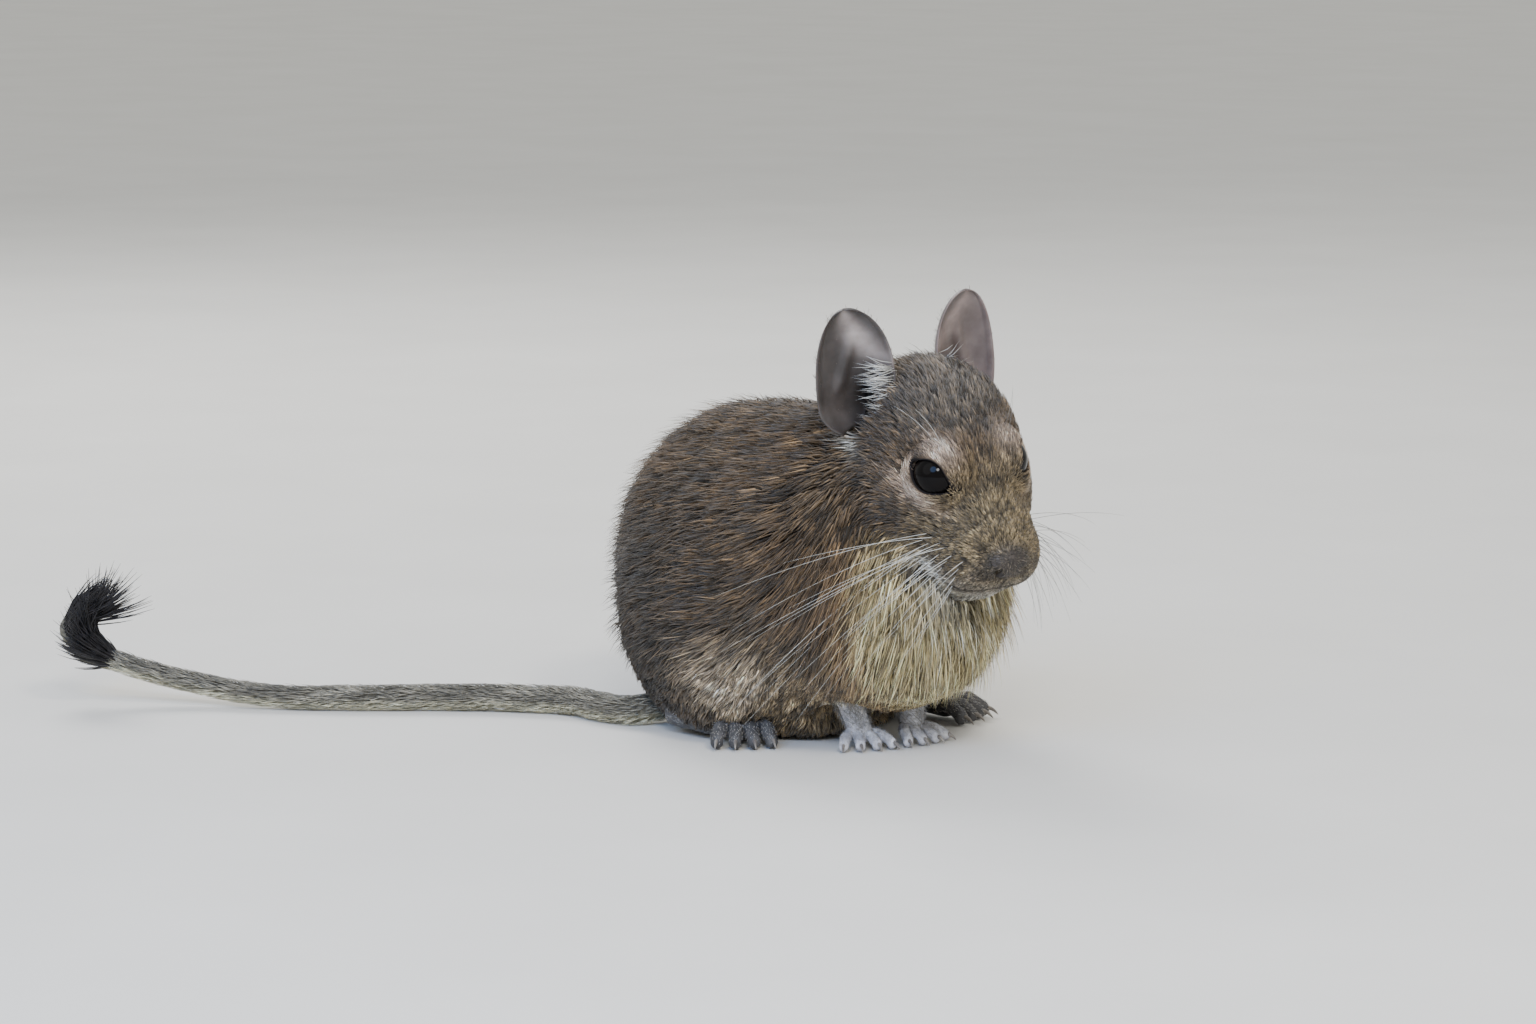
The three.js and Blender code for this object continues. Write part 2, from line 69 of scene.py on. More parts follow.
def set_camera():
    """The camera, with the animal's origin as far from the frame's middle as in the picture."""
    camera = placed("Camera", bpy.data.cameras.new("Camera"))
    camera.data.sensor_width = 36
    camera.data.lens = LENS
    camera.data.clip_start = 0.01
    camera.data.dof.use_dof = False
    target = (ABOVE * ORIGIN_DOWN - ASIDE * ORIGIN_RIGHT) / PIXELS_TO_A_METRE
    camera.location = target + BACK * CAMERA_BACK
    camera.rotation_euler = (-BACK).to_track_quat("-Z", "Y").to_euler()
    bpy.context.scene.camera = camera


# Small sums on arrays of points, shares and ways.

def unit(vectors, least=1e-4):
    """Vectors at length one."""
    return vectors / np.maximum(np.linalg.norm(vectors, axis=-1, keepdims=True), least)


def laid(ways, normals):
    """Ways laid flat on a surface that faces along its normals."""
    return unit(ways - normals * (ways * normals).sum(1)[:, None])


def off_floor(points, least=0.1):
    """Points kept a little above the floor."""
    points[..., 2] = np.maximum(points[..., 2], least)
    return points


def ramp(value, low, high):
    """A smooth rise from 0 at the low value to 1 at the high one."""
    share = np.clip((value - low) / (high - low), 0, 1)
    return share * share * (3 - 2 * share)


def bell(points, centre, size):
    """A smooth hump, 1 at its centre, that falls off by its size."""
    return np.exp(-(((points - np.float32(centre)) / np.float32(size)) ** 2).sum(1))


def cloud(points, size, seed, octaves=3):
    """A smooth random field between -1 and 1, from waves in many directions."""
    wave = np.random.default_rng(seed)
    total = np.zeros(len(points), np.float32)
    weight = 1.0
    for octave in range(octaves):
        ways = wave.normal(size=(3, 9)).astype(np.float32)
        ways *= 2 * pi / (size * np.linalg.norm(ways, axis=0)) * 2 ** octave
        shift = wave.uniform(0, 2 * pi, 9).astype(np.float32)
        total += weight * np.sin(points @ ways + shift).sum(1) / 4.2
        weight *= 0.55
    return np.clip(total / 1.6, -1, 1)


# Forms. Each takes points in millimetres and gives distances to a surface, negative inside.

def blend(a, b, width):
    """Two forms as one, with a soft hollow of a width where they meet."""
    share = np.clip(0.5 + 0.5 * (b - a) / width, 0, 1)
    return b + (a - b) * share - width * share * (1 - share)


def egg(points, centre, radii):
    """An ellipsoid."""
    local = (points - np.float32(centre)) / np.float32(radii)
    near = np.linalg.norm(local, axis=1)
    far = np.linalg.norm(local / np.float32(radii), axis=1)
    return near * (near - 1) / np.maximum(far, 1e-6)


def taper(points, start, end, first, last):
    """A round rod between two places, from a first radius to a last one."""
    start, end = np.float32(start), np.float32(end)
    along = end - start
    share = np.clip((points - start) @ along / (along @ along), 0, 1)
    return np.linalg.norm(points - start - share[:, None] * along, axis=1) - (first + (last - first) * share)


def string_of_tapers(points, path, radii):
    """Rods from each place of a path to the next."""
    near = [taper(points, a, b, ra, rb) for a, b, ra, rb in zip(path, path[1:], radii, radii[1:])]
    return np.minimum.reduce(near)


def turned(yaw, pitch, roll):
    """The turn that a yaw, a pitch and a roll in degrees make."""
    a, b, c = radians(yaw), radians(pitch), radians(roll)
    about_z = np.array([[cos(a), -sin(a), 0], [sin(a), cos(a), 0], [0, 0, 1]])
    about_y = np.array([[cos(b), 0, sin(b)], [0, 1, 0], [-sin(b), 0, cos(b)]])
    about_x = np.array([[1, 0, 0], [0, cos(c), -sin(c)], [0, sin(c), cos(c)]])
    return (about_z @ about_y @ about_x).astype(np.float32)


HEAD_AT = np.float32([36.6, 5.5, 63.4])
HEAD_TURN = turned(yaw=-5, pitch=34.5, roll=7)


def to_head(points):
    """Points in the head's own frame: forwards, to its left and upwards."""
    return (points - HEAD_AT) @ HEAD_TURN


def on_head(place, side=1):
    """Where a place in the head's frame is, or its mirror image on the right."""
    return HEAD_AT + HEAD_TURN @ (np.float32(place) * np.float32([1, side, 1]))


def head_way(way, side=1):
    """Which way a way in the head's frame points, or its mirror image on the right."""
    return unit(HEAD_TURN @ (np.float32(way) * np.float32([1, side, 1])))


def mirrored(points):
    """Points folded over onto the left side."""
    return points * np.float32([1, 0, 1]) + np.abs(points) * np.float32([0, 1, 0])


# The eggs of the head, folded onto its left: centre, radii and how softly each one blends in.
HEAD_EGGS = (
    ((4, 8, -8), (15, 9, 10.5), 6),  # cheek
    ((22.5, 5.6, -8.2), (8, 5.6, 6.2), 4),  # whisker pad
    ((18.5, 0, -14.2), (9.5, 6.6, 5.0), 4),  # chin
    ((30.6, 0, -3.4), (2.4, 3.6, 3.0), 2),  # tip of the muzzle
    ((11.2, 7.2, 5.2), (6.8, 4.7, 5.9), 4),  # brow, round the eye
)
# The eyes in the head's frame: where each one is, the way it faces and the slant of its corners.
EYE_RADIUS = 5.0
EYE_AT = {1: (11.8, 6.8, 5.1), -1: (12.6, 8.25, 5.1)}
EYE_FACES = (0.4, 0.84, 0.38)
EYE_SLANT = (0.906, -0.42, -0.02)
# Places inside the head, the body and the neck.
HEAD_MIDDLE = on_head((4, 0, -2))
BODY_MIDDLE = np.float32([0, 1, 34])
NAPE_FROM = (14, 2, 44)
NAPE_TO = on_head((-6, 0, -5))

# The legs, by side: each foreleg from its elbow to its wrist, and the balls of the feet.
ELBOW = {1: (22, 13, 21), -1: (19, -9.5, 21)}
WRIST = {1: (21.5, 9.5, 11), -1: (19.5, -5.4, 11)}
FORE_BALL = {1: (21.5, 9.6, 3.2), -1: (20.5, -2.6, 3.2)}
FORE_HEADING = {1: 6, -1: -18}
ANKLE = {1: (-14, 26, 5), -1: (-14, -25, 5)}
HIND_BALL = {1: (6, 30, 3.6), -1: (3.5, -20.5, 3.6)}
HIND_HEADING = {1: 28, -1: -30}


def head_form(points):
    """The head in its coat: a skull, a muzzle and the eggs set on them."""
    local = to_head(points)
    form = egg(local, (-2, 0, 0), (19, 16, 14.5))
    form = blend(form, taper(local, (8, 0, -2), (23, 0, -6), 13, 9.3), 5)
    for centre, radii, width in HEAD_EGGS:
        form = blend(form, egg(mirrored(local), centre, radii), width)
    return form


def body_form(points):
    """The body in its coat: rump, ribs, chest, belly, nape and thighs."""
    form = egg(points, (-14, 0, 33), (37, 31, 35))
    form = blend(form, egg(points, (8, 1, 37), (35, 30, 32)), 8)
    form = blend(form, egg(points, (25.5, 5, 33), (20, 21, 24)), 8)
    form = blend(form, egg(points, (-8, 0, 11), (24, 22, 15)), 8)
    form = blend(form, taper(points, NAPE_FROM, NAPE_TO, 22, 15), 10)
    return blend(form, egg(mirrored(points), (-8, 22, 24), (25, 11, 23)), 6)


def foreleg_form(points, side):
    """A foreleg in its coat."""
    return taper(points, ELBOW[side], WRIST[side], 6, 2.9)


def coat_form(points):
    """The outside of the coat, out to the tips of the hair, cut clear round the wrists."""
    form = blend(body_form(points), head_form(points), 7)
    for side in SIDES.values():
        wrist = np.float32(WRIST[side])
        cleared = taper(points, wrist * np.float32([1, 1, 0]), wrist - np.float32([0, 0, 5]), 6.8, 6.8)
        form = np.maximum(form, -cleared)
    for side in SIDES.values():
        form = blend(form, foreleg_form(points, side), 4)
    return form


def outward(form, points, step=0.25):
    """The form's value and its gradient at points."""
    here = form(points)
    slope = np.empty_like(points)
    for axis in range(3):
        ahead = points.copy()
        ahead[:, axis] += step
        slope[:, axis] = (form(ahead) - here) / step
    return here, slope


def settle(form, points, rounds=5):
    """Points moved along the gradient until they lie on the form."""
    for _ in range(rounds):
        here, slope = outward(form, points)
        size = np.maximum((slope * slope).sum(1), 0.05)
        points = points - slope * np.clip(here / size, -3, 3)[:, None]
    return points


# Meshes from arrays.

def mesh_piece(name, points, faces, slot, material):
    """A piece from points in millimetres and triangles or quads, riding on the animal."""
    faces = np.asarray(faces, np.int32)
    mesh = bpy.data.meshes.new(name)
    mesh.vertices.add(len(points))
    mesh.loops.add(faces.size)
    mesh.polygons.add(len(faces))
    mesh.vertices.foreach_set("co", (np.asarray(points, np.float32) * MM).ravel())
    mesh.loops.foreach_set("vertex_index", faces.ravel())
    mesh.polygons.foreach_set("loop_start", np.arange(0, faces.size, faces.shape[1], dtype=np.int32))
    mesh.polygons.foreach_set("use_smooth", np.ones(len(faces), bool))
    mesh.update(calc_edges=True)
    mesh.validate()
    mesh.materials.append(material)
    piece = placed(name, mesh)
    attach(piece, "root")
    return piece


def paint(piece, colours):
    """A colour for each point of a piece."""
    layer = piece.data.color_attributes.new("Coat", "FLOAT_COLOR", "POINT")
    full = np.ones((len(colours), 4), np.float32)
    full[:, :3] = colours
    layer.data.foreach_set("color", full.ravel())


def lay_out(piece, spots, faces):
    """The place of each point of a piece on the flat map of the coat."""
    layer = piece.data.uv_layers.new(name="OFBake")
    layer.data.foreach_set("uv", spots[faces.ravel()].astype(np.float32).ravel())


def points_of(mesh):
    """A mesh's points, in millimetres."""
    points = np.empty(len(mesh.vertices) * 3, np.float32)
    mesh.vertices.foreach_get("co", points)
    return points.reshape(-1, 3) / MM


def triangles_of(mesh):
    """A mesh's faces, as triangles."""
    mesh.calc_loop_triangles()
    corners = np.empty(len(mesh.loop_triangles) * 3, np.int32)
    mesh.loop_triangles.foreach_get("vertices", corners)
    return corners.reshape(-1, 3)


def sheet_faces(rows, columns, closed=False):
    """Quads over a grid of points, row after row."""
    i = np.arange(rows - 1)[:, None]
    j = np.arange(columns if closed else columns - 1)[None, :]
    after = (j + 1) % columns
    corners = [i * columns + j, i * columns + after, (i + 1) * columns + after, (i + 1) * columns + j]
    return np.stack(np.broadcast_arrays(*corners), -1).reshape(-1, 4)[:, ::-1]


def halved(quads):
    """Quads as triangles."""
    return np.concatenate([quads[:, [0, 1, 2]], quads[:, [0, 2, 3]]])


def ball(around, along):
    """Points and quads of a ball of radius one, with a tiny hole at each pole."""
    turn = np.linspace(0, 2 * pi, around, endpoint=False)
    rise = np.linspace(0.004, pi - 0.004, along)[:, None]
    axes = np.cos(turn) * np.sin(rise), np.sin(turn) * np.sin(rise), np.cos(rise)
    rows = np.stack(np.broadcast_arrays(*axes), -1)
    return rows.reshape(-1, 3).astype(np.float32), sheet_faces(along, around, closed=True)


def frames_along(path):
    """Directions along a path, with a side and an upward one that don't twist."""
    path = np.asarray(path, float)
    along = unit(np.gradient(path, axis=0))
    start = np.array([0, 0, 1.0]) if abs(along[0, 2]) < 0.9 else np.array([1.0, 0, 0])
    up = []
    for way in along:
        start = unit(start - way * (start @ way))
        up.append(start)
    up = np.array(up)
    return along, np.cross(up, along), up


def tube(path, radii, around=12, flat=1.0):
    """Points and triangles of a closed tube along a path."""
    path = np.asarray(path, float)
    _, side, up = frames_along(path)
    turn = np.linspace(0, 2 * pi, around, endpoint=False)
    radii = np.asarray(radii, float)[:, None, None]
    ring = np.cos(turn)[None, :, None] * side[:, None] + flat * np.sin(turn)[None, :, None] * up[:, None]
    points = np.concatenate([(path[:, None] + radii * ring).reshape(-1, 3), path[:1], path[-1:]])
    first, last = len(points) - 2, len(points) - 1
    here = np.arange(around)
    after = (here + 1) % around
    top = (len(path) - 1) * around
    caps = [np.stack([np.full(around, first), here, after], 1),
            np.stack([np.full(around, last), top + after, top + here], 1)]
    return points, np.concatenate([halved(sheet_faces(len(path), around, closed=True)), *caps])


def joined(pieces):
    """Points and faces of many meshes as one."""
    points, faces, count = [], [], 0
    for some_points, some_faces in pieces:
        points.append(some_points)
        faces.append(np.asarray(some_faces) + count)
        count += len(some_points)
    return np.concatenate(points), np.concatenate(faces)


def evaluated(rough):
    """An object's final mesh, with the object itself taken away."""
    made = bpy.data.meshes.new_from_object(rough.evaluated_get(bpy.context.evaluated_depsgraph_get()))
    bpy.data.objects.remove(rough)
    return made


def remeshed(name, points, faces, size):
    """One closed surface around overlapping meshes, as points and quads."""
    mesh = bpy.data.meshes.new(name)
    mesh.from_pydata((np.asarray(points) * MM).tolist(), [], np.asarray(faces).tolist())
    rough = placed(name, mesh)
    change = rough.modifiers.new("Remesh", "REMESH")
    change.mode = "VOXEL"
    change.voxel_size = size * MM
    made = evaluated(rough)
    found = points_of(made)
    corners = np.empty(len(made.loops), np.int32)
    made.loops.foreach_get("vertex_index", corners)
    bpy.data.meshes.remove(made)
    return found, corners.reshape(-1, 4)


def cast(form, centre, pole, around, along, reach=80):
    """The surface of a form seen from a centre: a ball's points moved out to where it ends."""
    points, faces = ball(around, along)
    turn = Vector((0, 0, 1)).rotation_difference(Vector(pole)).to_matrix()
    ways = (points @ np.array(turn).T).astype(np.float32)
    low = np.zeros(len(ways), np.float32)
    high = np.full(len(ways), 2.0, np.float32)
    inside = np.ones(len(ways), bool)
    while inside.any() and high.max() < reach:
        inside &= form(np.float32(centre) + ways * high[:, None]) < 0
        low = np.where(inside, high, low)
        high = np.where(inside, high + 1.5, high)
    for _ in range(12):
        middle = (low + high) / 2
        within = form(np.float32(centre) + ways * middle[:, None]) < 0
        low = np.where(within, middle, low)
        high = np.where(within, high, middle)
    return np.float32(centre) + ways * low[:, None], faces


# Materials, written as expressions on sockets.

class Shade:
    """A socket of a material, with arithmetic that adds its Math nodes."""

    def __init__(self, tree, socket):
        self.tree = tree
        self.socket = socket

    def math(self, kind, other, reverse=False):
        """A Math node of a kind on this socket and another or a number."""
        first, second = (other, self) if reverse else (self, other)
        return node(self.tree, "ShaderNodeMath", {"operation": kind}, {0: first, 1: second})

    def __add__(self, other):
        return self.math("ADD", other)

    def __radd__(self, other):
        return self.math("ADD", other, True)

    def __sub__(self, other):
        return self.math("SUBTRACT", other)

    def __rsub__(self, other):
        return self.math("SUBTRACT", other, True)

    def __mul__(self, other):
        return self.math("MULTIPLY", other)

    def __rmul__(self, other):
        return self.math("MULTIPLY", other, True)


def node(tree, kind, settings=None, values=None, out=0):
    """A node with its settings made first, then the values or links of its sockets."""
    made = tree.nodes.new(kind)
    for key, value in (settings or {}).items():
        setattr(made, key, value)
    for key, value in (values or {}).items():
        if isinstance(value, Shade):
            tree.links.new(value.socket, made.inputs[key])
        else:
            made.inputs[key].default_value = value
    return Shade(tree, made.outputs[out])


def mixed(tree, share, first, second, way="MIX"):
    """Two colours mixed by a share, through a Mix node."""
    return node(tree, "ShaderNodeMix", {"data_type": "RGBA", "blend_type": way},
                {0: share, 6: first, 7: second}, out=2)


def spread(tree, value, low, high, start=0.0, end=1.0):
    """A value's stretch from low to high, taken to another from start to end."""
    return node(tree, "ShaderNodeMapRange", values={0: value, 1: low, 2: high, 3: start, 4: end})


def two_tone(tree, value, low, high, first, second):
    """A colour that goes from one tone to another as a value rises."""
    return mixed(tree, spread(tree, value, low, high), (*first, 1), (*second, 1))


def painted(tree):
    """The colour painted on a piece."""
    return node(tree, "ShaderNodeVertexColor", {"layer_name": "Coat"})


def noise(tree, scale, detail=3.0):
    """Noise at a scale in the piece's own space."""
    place = node(tree, "ShaderNodeTexCoord", out=3)
    return node(tree, "ShaderNodeTexNoise",
                values={"Vector": place, "Scale": scale, "Detail": detail, "Roughness": 0.55})


def finish(name, **constants):
    """A material whose constant sockets are set, and its tree and surface to link the rest to."""
    material = bpy.data.materials.new(name)
    material.use_nodes = True
    surface = material.node_tree.nodes["Principled BSDF"]
    for key, value in constants.items():
        surface.inputs[key.replace("_", " ")].default_value = value
    return material, material.node_tree, surface


def feed(surface, key, shade):
    """A socket of the surface, linked to what varies it."""
    shade.tree.links.new(shade.socket, surface.inputs[key])


def bumped(tree, surface, height, strength):
    """Fine relief from a height."""
    values = {"Height": height, "Strength": strength, "Distance": 0.0004}
    feed(surface, "Normal", node(tree, "ShaderNodeBump", values=values))


def fur_finish():
    """Hair: the painted colour with a fine uneven shade."""
    material, tree, surface = finish("Fur", Roughness=0.62, Specular_IOR_Level=0.28, Sheen_Weight=0.12,
                                     Sheen_Roughness=0.5)
    shade = spread(tree, noise(tree, 900), 0.3, 0.7, 0.86, 1.12)
    feed(surface, "Base Color", mixed(tree, 1.0, painted(tree), shade, "MULTIPLY"))
    return material


def skin_finish():
    """The skin under the coat: the coat's colour, darkened as painted shade at its depth, with the grain of
    short hair.
    """
    material, tree, surface = finish("Skin", Roughness=0.85, Specular_IOR_Level=0.15)
    grain = noise(tree, 1400, 4)
    shade = spread(tree, grain, 0.3, 0.7, 0.55, 0.95)
    feed(surface, "Base Color", mixed(tree, 1.0, painted(tree), shade, "MULTIPLY"))
    bumped(tree, surface, grain, 0.5)
    return material


def bare_finish(name, dark, light, scale, roughness=0.55, bump=0.35, translucent=0.0):
    """Bare skin: two tones in a fine mottle, creased."""
    material, tree, surface = finish(
        name, Specular_IOR_Level=0.4, Subsurface_Weight=translucent,
        Subsurface_Radius=(0.002, 0.0008, 0.0006), Subsurface_Scale=0.5)
    mottle = noise(tree, scale, 5)
    mottled = two_tone(tree, mottle, 0.35, 0.68, dark, light)
    feed(surface, "Base Color", mixed(tree, 1.0, mottled, painted(tree), "MULTIPLY"))
    cells = node(tree, "ShaderNodeTexVoronoi", {"feature": "DISTANCE_TO_EDGE"},
                 {"Vector": node(tree, "ShaderNodeTexCoord", out=3), "Scale": scale * 1.6})
    feed(surface, "Roughness", roughness - 0.12 + mottle * 0.24)
    bumped(tree, surface, cells * 0.6 + mottle * 0.5, bump)
    return material


def eye_finish():
    """The wet dark eye, nearly black with a faint brown depth."""
    material, tree, surface = finish("Eye", Roughness=0.035, IOR=1.22)
    black, brown = (0.0012, 0.001, 0.0014), (0.004, 0.0026, 0.0022)
    feed(surface, "Base Color", two_tone(tree, noise(tree, 260, 2), 0.3, 0.8, black, brown))
    return material


def hair_finish(name, root, tip, roughness=0.45):
    """Stiff hair, such as whiskers and bristles, in two tones along its own noise."""
    material, tree, surface = finish(name, Specular_IOR_Level=0.4)
    feed(surface, "Base Color", two_tone(tree, noise(tree, 500, 3), 0.3, 0.7, root, tip))
    feed(surface, "Roughness", roughness + noise(tree, 1500, 2) * 0.2)
    return material


def floor_finish():
    """The pale floor, with a faint unevenness."""
    material, tree, surface = finish("Floor", Specular_IOR_Level=0.2)
    dark, light = (0.72, 0.71, 0.68), (0.78, 0.77, 0.74)
    feed(surface, "Base Color", two_tone(tree, noise(tree, 14, 4), 0.2, 0.8, dark, light))
    feed(surface, "Roughness", 0.75 + noise(tree, 120, 3) * 0.15)
    return material


# Markings and painted shade. Colours are linear, and are the same on the skin and in the hair that grows on
# it.

def tone(red, green, blue):
    """The linear colour that is seen as this red, green and blue."""
    seen = np.float32([red, green, blue])
    return np.where(seen <= 0.04045, seen / 12.92, ((seen + 0.055) / 1.055) ** 2.4).astype(np.float32)


BROWN = tone(0.33, 0.252, 0.158)
GREY_BROWN = tone(0.35, 0.305, 0.245)
DARK = tone(0.15, 0.125, 0.10)
BUFF = tone(0.60, 0.53, 0.41)
CREAM = tone(0.79, 0.725, 0.54)
YELLOWISH = tone(0.54, 0.48, 0.355)
WHITISH = tone(0.72, 0.70, 0.65)
PALE_PATCH = tone(0.70, 0.64, 0.56)
LEG_GREY = tone(0.84, 0.83, 0.78)
NOSE_BROWN = tone(0.33, 0.30, 0.26)
RUST = tone(0.58, 0.46, 0.32)
CROWN_GREY = tone(0.385, 0.36, 0.325)
EYE_PALE = tone(0.86, 0.76, 0.67)
WHITE = tone(0.88, 0.87, 0.83)
TAIL_OVER = tone(0.50, 0.485, 0.44)
TAIL_UNDER = tone(0.74, 0.72, 0.62)
TAIL_END = tone(0.12, 0.115, 0.12)

PAD_ROWS = 5
PAD_COLUMNS = 6

# Marks on the side of the head: colour, place and size in the head's frame.
HEAD_SPOTS = (
    (WHITE, (22.2, 12.6, -11.4), (3.4, 4.0, 1.7)),  # streak along the cheek
    (DARK, (19.5, 12.5, -14.6), (4.5, 4.5, 1.3)),  # shadow under it
    (WHITE, (-8.5, 18.0, -0.6), (4.5, 3.5, 1.4)),  # streak under the ear
)
RING_TOP = {1: 0.5, -1: 0.95}


def pad_place(row, column):
    """Where a whisker grows on the side of the muzzle, on the head's left."""
    return (27.2 - 1.75 * column - 0.3 * row, 6.6 + 1.05 * column - 0.09 * column ** 2, -4.6 - 1.45 * row)


def settled_pad():
    """The whisker roots moved onto the coat's outside, in the head's own frame."""
    roots = [on_head(pad_place(row, column)) for row in range(PAD_ROWS) for column in range(PAD_COLUMNS)]
    return to_head(settle(coat_form, np.float32(roots), 6))


PAD_ROOTS = settled_pad()


def mouth_line(local):
    """How near points are to the line of the mouth, from under the nose to its corners."""
    forwards, aside, upwards = local.T
    turn = np.arctan2(np.abs(aside), np.maximum(forwards - 13, 0.1))
    level = -11.2 + 0.9 * np.cos(2 * turn)
    lips = np.exp(-((upwards - level) / 0.45) ** 2) * ramp(-turn, -1.25, -1.05) * ramp(forwards, 16, 19)
    split = np.exp(-(aside / 0.35) ** 2) * ramp(-upwards, 5.5, 6.5) * ramp(upwards, -11.5, -10.5)
    return np.clip(lips + split * ramp(forwards, 24, 27), 0, 1)


def mix_in(base, colour, share):
    """Base colours with another mixed in by a share."""
    return base + (colour - base) * share[:, None]


def layered(base, layers):
    """A base colour with others mixed in one after another, each by its own share."""
    colours = np.tile(base, (len(layers[0][1]), 1))
    for colour, share in layers:
        colours = mix_in(colours, colour, share)
    return colours


def head_share(points):
    """How far points belong to the head rather than the body."""
    return ramp(body_form(points) - head_form(points), -5, 7)


def body_markings_and_shade(points, blotch):
    """The body's colours: a mottled brown back, a rump darkened by painted shadow, pale patches, chest and
    wrists.
    """
    forwards, _, high = points.T
    front = forwards - 0.55 * np.abs(points[:, 1] - 2)
    legs = np.minimum(*(foreleg_form(points, side) for side in SIDES.values()))
    patches = [(PALE_PATCH, 0.9 * bell(points, (9, side, 13), (10, 11, 8.5))) for side in (29, -29)]
    return layered(BROWN, [
        (GREY_BROWN, 0.35 + 0.35 * blotch),
        # Painted shadow over the rump, darkest low down at the back.
        (DARK, 0.78 * ramp(-forwards, -8, 12) * ramp(-high, -62, -32)),
        (BUFF, 0.6 * ramp(-high, -28, -14) * ramp(forwards, -4, 6)),
        *patches,
        (RUST, 0.5 * ramp(front, 17, 25) * ramp(-high, -52, -38)),
        (CREAM, 0.9 * ramp(front, 23, 32) * ramp(-high, -50, -38)),
        (LEG_GREY, 0.9 * ramp(-legs, -3.5, -1.0) * ramp(-high, -17, -11))])


def eye_ring(points, side):
    """How pale the coat is round an eye: above it, under it and behind it."""
    forwards, upwards, outwards = beside_eye(points, side)
    above = np.exp(-((forwards + 0.8) / 4.4) ** 2 - ((upwards - 5.6) / 2.6) ** 2)
    below = np.exp(-((forwards + 1.5) / 5.6) ** 2 - ((upwards + 4.9) / 1.7) ** 2)
    behind = np.exp(-((forwards + 5.8) / 1.6) ** 2 - ((upwards + 1.6) / 2.6) ** 2)
    return np.clip(RING_TOP[side] * above + 0.9 * below + 0.7 * behind, 0, 1) * ramp(outwards, -2, 1)


def head_markings_and_shade(points, blotch):
    """The head's colours: crown, muzzle, eye rings, lips, painted shade in the mouth's creases, nose and
    whisker rows.
    """
    local = to_head(points)
    forwards, _, high = local.T
    folded = mirrored(local)
    rings = [(EYE_PALE, eye_ring(points, side)) for side in SIDES.values()]
    dots = [(DARK, 0.75 * np.exp(-((folded - root) ** 2).sum(1) / 0.30)) for root in PAD_ROOTS]
    return layered(GREY_BROWN, [
        (BROWN, 0.45 + 0.4 * blotch),
        (CROWN_GREY, 0.5 * ramp(high, 6, 12) * ramp(-forwards, -12, 2)),
        (YELLOWISH, 0.6 * ramp(forwards, 11, 22) * ramp(high, -13, -4)),
        *rings,
        (DARK, 0.28 * bell(folded, (11, 15, -9), (8, 7, 4))),
        (WHITISH, 0.28 * ramp(-high, 6.0, 9.5) * ramp(forwards, 17, 22)),
        # The mouth's line and the split under the nose are painted dark: painted shade in these creases.
        (DARK, 0.85 * mouth_line(local)),
        (NOSE_BROWN, 0.8 * ramp(forwards, 28.4, 31.2) * ramp(high, -8, -6.5)),
        *dots])


def markings_and_shade(points):
    """The coat's colour at points on the skin, with painted shade on the rump, in the mouth's creases and
    under the cheek.
    """
    local = to_head(points)
    folded = mirrored(local)
    blotch = cloud(points, 24, 3)
    colour = mix_in(body_markings_and_shade(points, blotch), head_markings_and_shade(points, blotch), head_share(points))
    chin = np.clip(1.4 * bell(folded, (24, 0, -17.0), (7.5, 9.5, 4.2)), 0, 0.97)
    colour = mix_in(colour, WHITISH, chin * ramp(-local[:, 2], 11.2, 12.4))
    for spot, place, size in HEAD_SPOTS:
        colour = mix_in(colour, spot, np.clip(1.3 * bell(folded, place, size), 0, 0.95))
    return colour


def eye_frame(side):
    """Where an eye is, the way it faces, and the ways to its front corner and upwards."""
    faces = head_way(EYE_FACES, side)
    front = head_way(EYE_SLANT, side)
    front = unit(front - faces * (front @ faces))
    up = np.cross(faces, front)
    up *= np.sign(up @ head_way((0, 0, 1)))
    return on_head(EYE_AT[side], side), faces, front, up


def beside_eye(points, side):
    """Places around an eye, as forwards, upwards and outwards of its middle."""
    centre, faces, front, up = eye_frame(side)
    local = points - centre
    return local @ front, local @ up, local @ faces


def near_eye(points):
    """Distance from the line each eye looks along, for points on its side of the head."""
    gaps = []
    for side in SIDES.values():
        forwards, upwards, outwards = beside_eye(points, side)
        gaps.append(np.where(outwards > -1, np.hypot(forwards, upwards), 99))
    return np.minimum(*gaps)


def hair_length(points):
    """How long the hair is at points: long on the body, short on the face and the wrists."""
    forwards = to_head(points)[:, 0]
    body = 8.4 - 4.6 * ramp(-points[:, 2], -27, -13)
    body += 1.4 * ramp(points[:, 0], 22, 38) * ramp(-points[:, 2], -50, -36)
    legs = ramp(-points[:, 2], -19, -12) * ramp(points[:, 0], 10, 17)
    body = body + (2.2 - body) * legs
    head = 5.2 - 2.0 * ramp(forwards, -14, 8) - 1.7 * ramp(forwards, 12, 28)
    head -= 0.7 * ramp(forwards, 27, 32)
    head = head * (1 - 0.45 * ramp(-near_eye(points), -9.5, -5.0))
    return np.maximum(body + (head - body) * head_share(points), 0.7)


# The skin's depth as a share of the hair's length, and the size of its remeshed cells.
DEPTH_SHARE = 0.46
SKIN_CELL = 0.75
BODY_SEEN_FROM = (0, 1, 36)


def bare_form(points):
    """The skin, inside the coat by the depth of its hair."""
    return coat_form(points) + DEPTH_SHARE * hair_length(points)


def sunk_sockets(points):
    """Skin points with those over each eye let down behind it, under the lids."""
    for side in SIDES.values():
        forwards, upwards, outwards = beside_eye(points, side)
        over = ramp(-np.hypot(forwards, upwards), -6.6, -5.6) * (outwards > -2)
        faces = eye_frame(side)[1].astype(np.float32)
        points = points - (over * (outwards + 1.5))[:, None] * faces
    return points


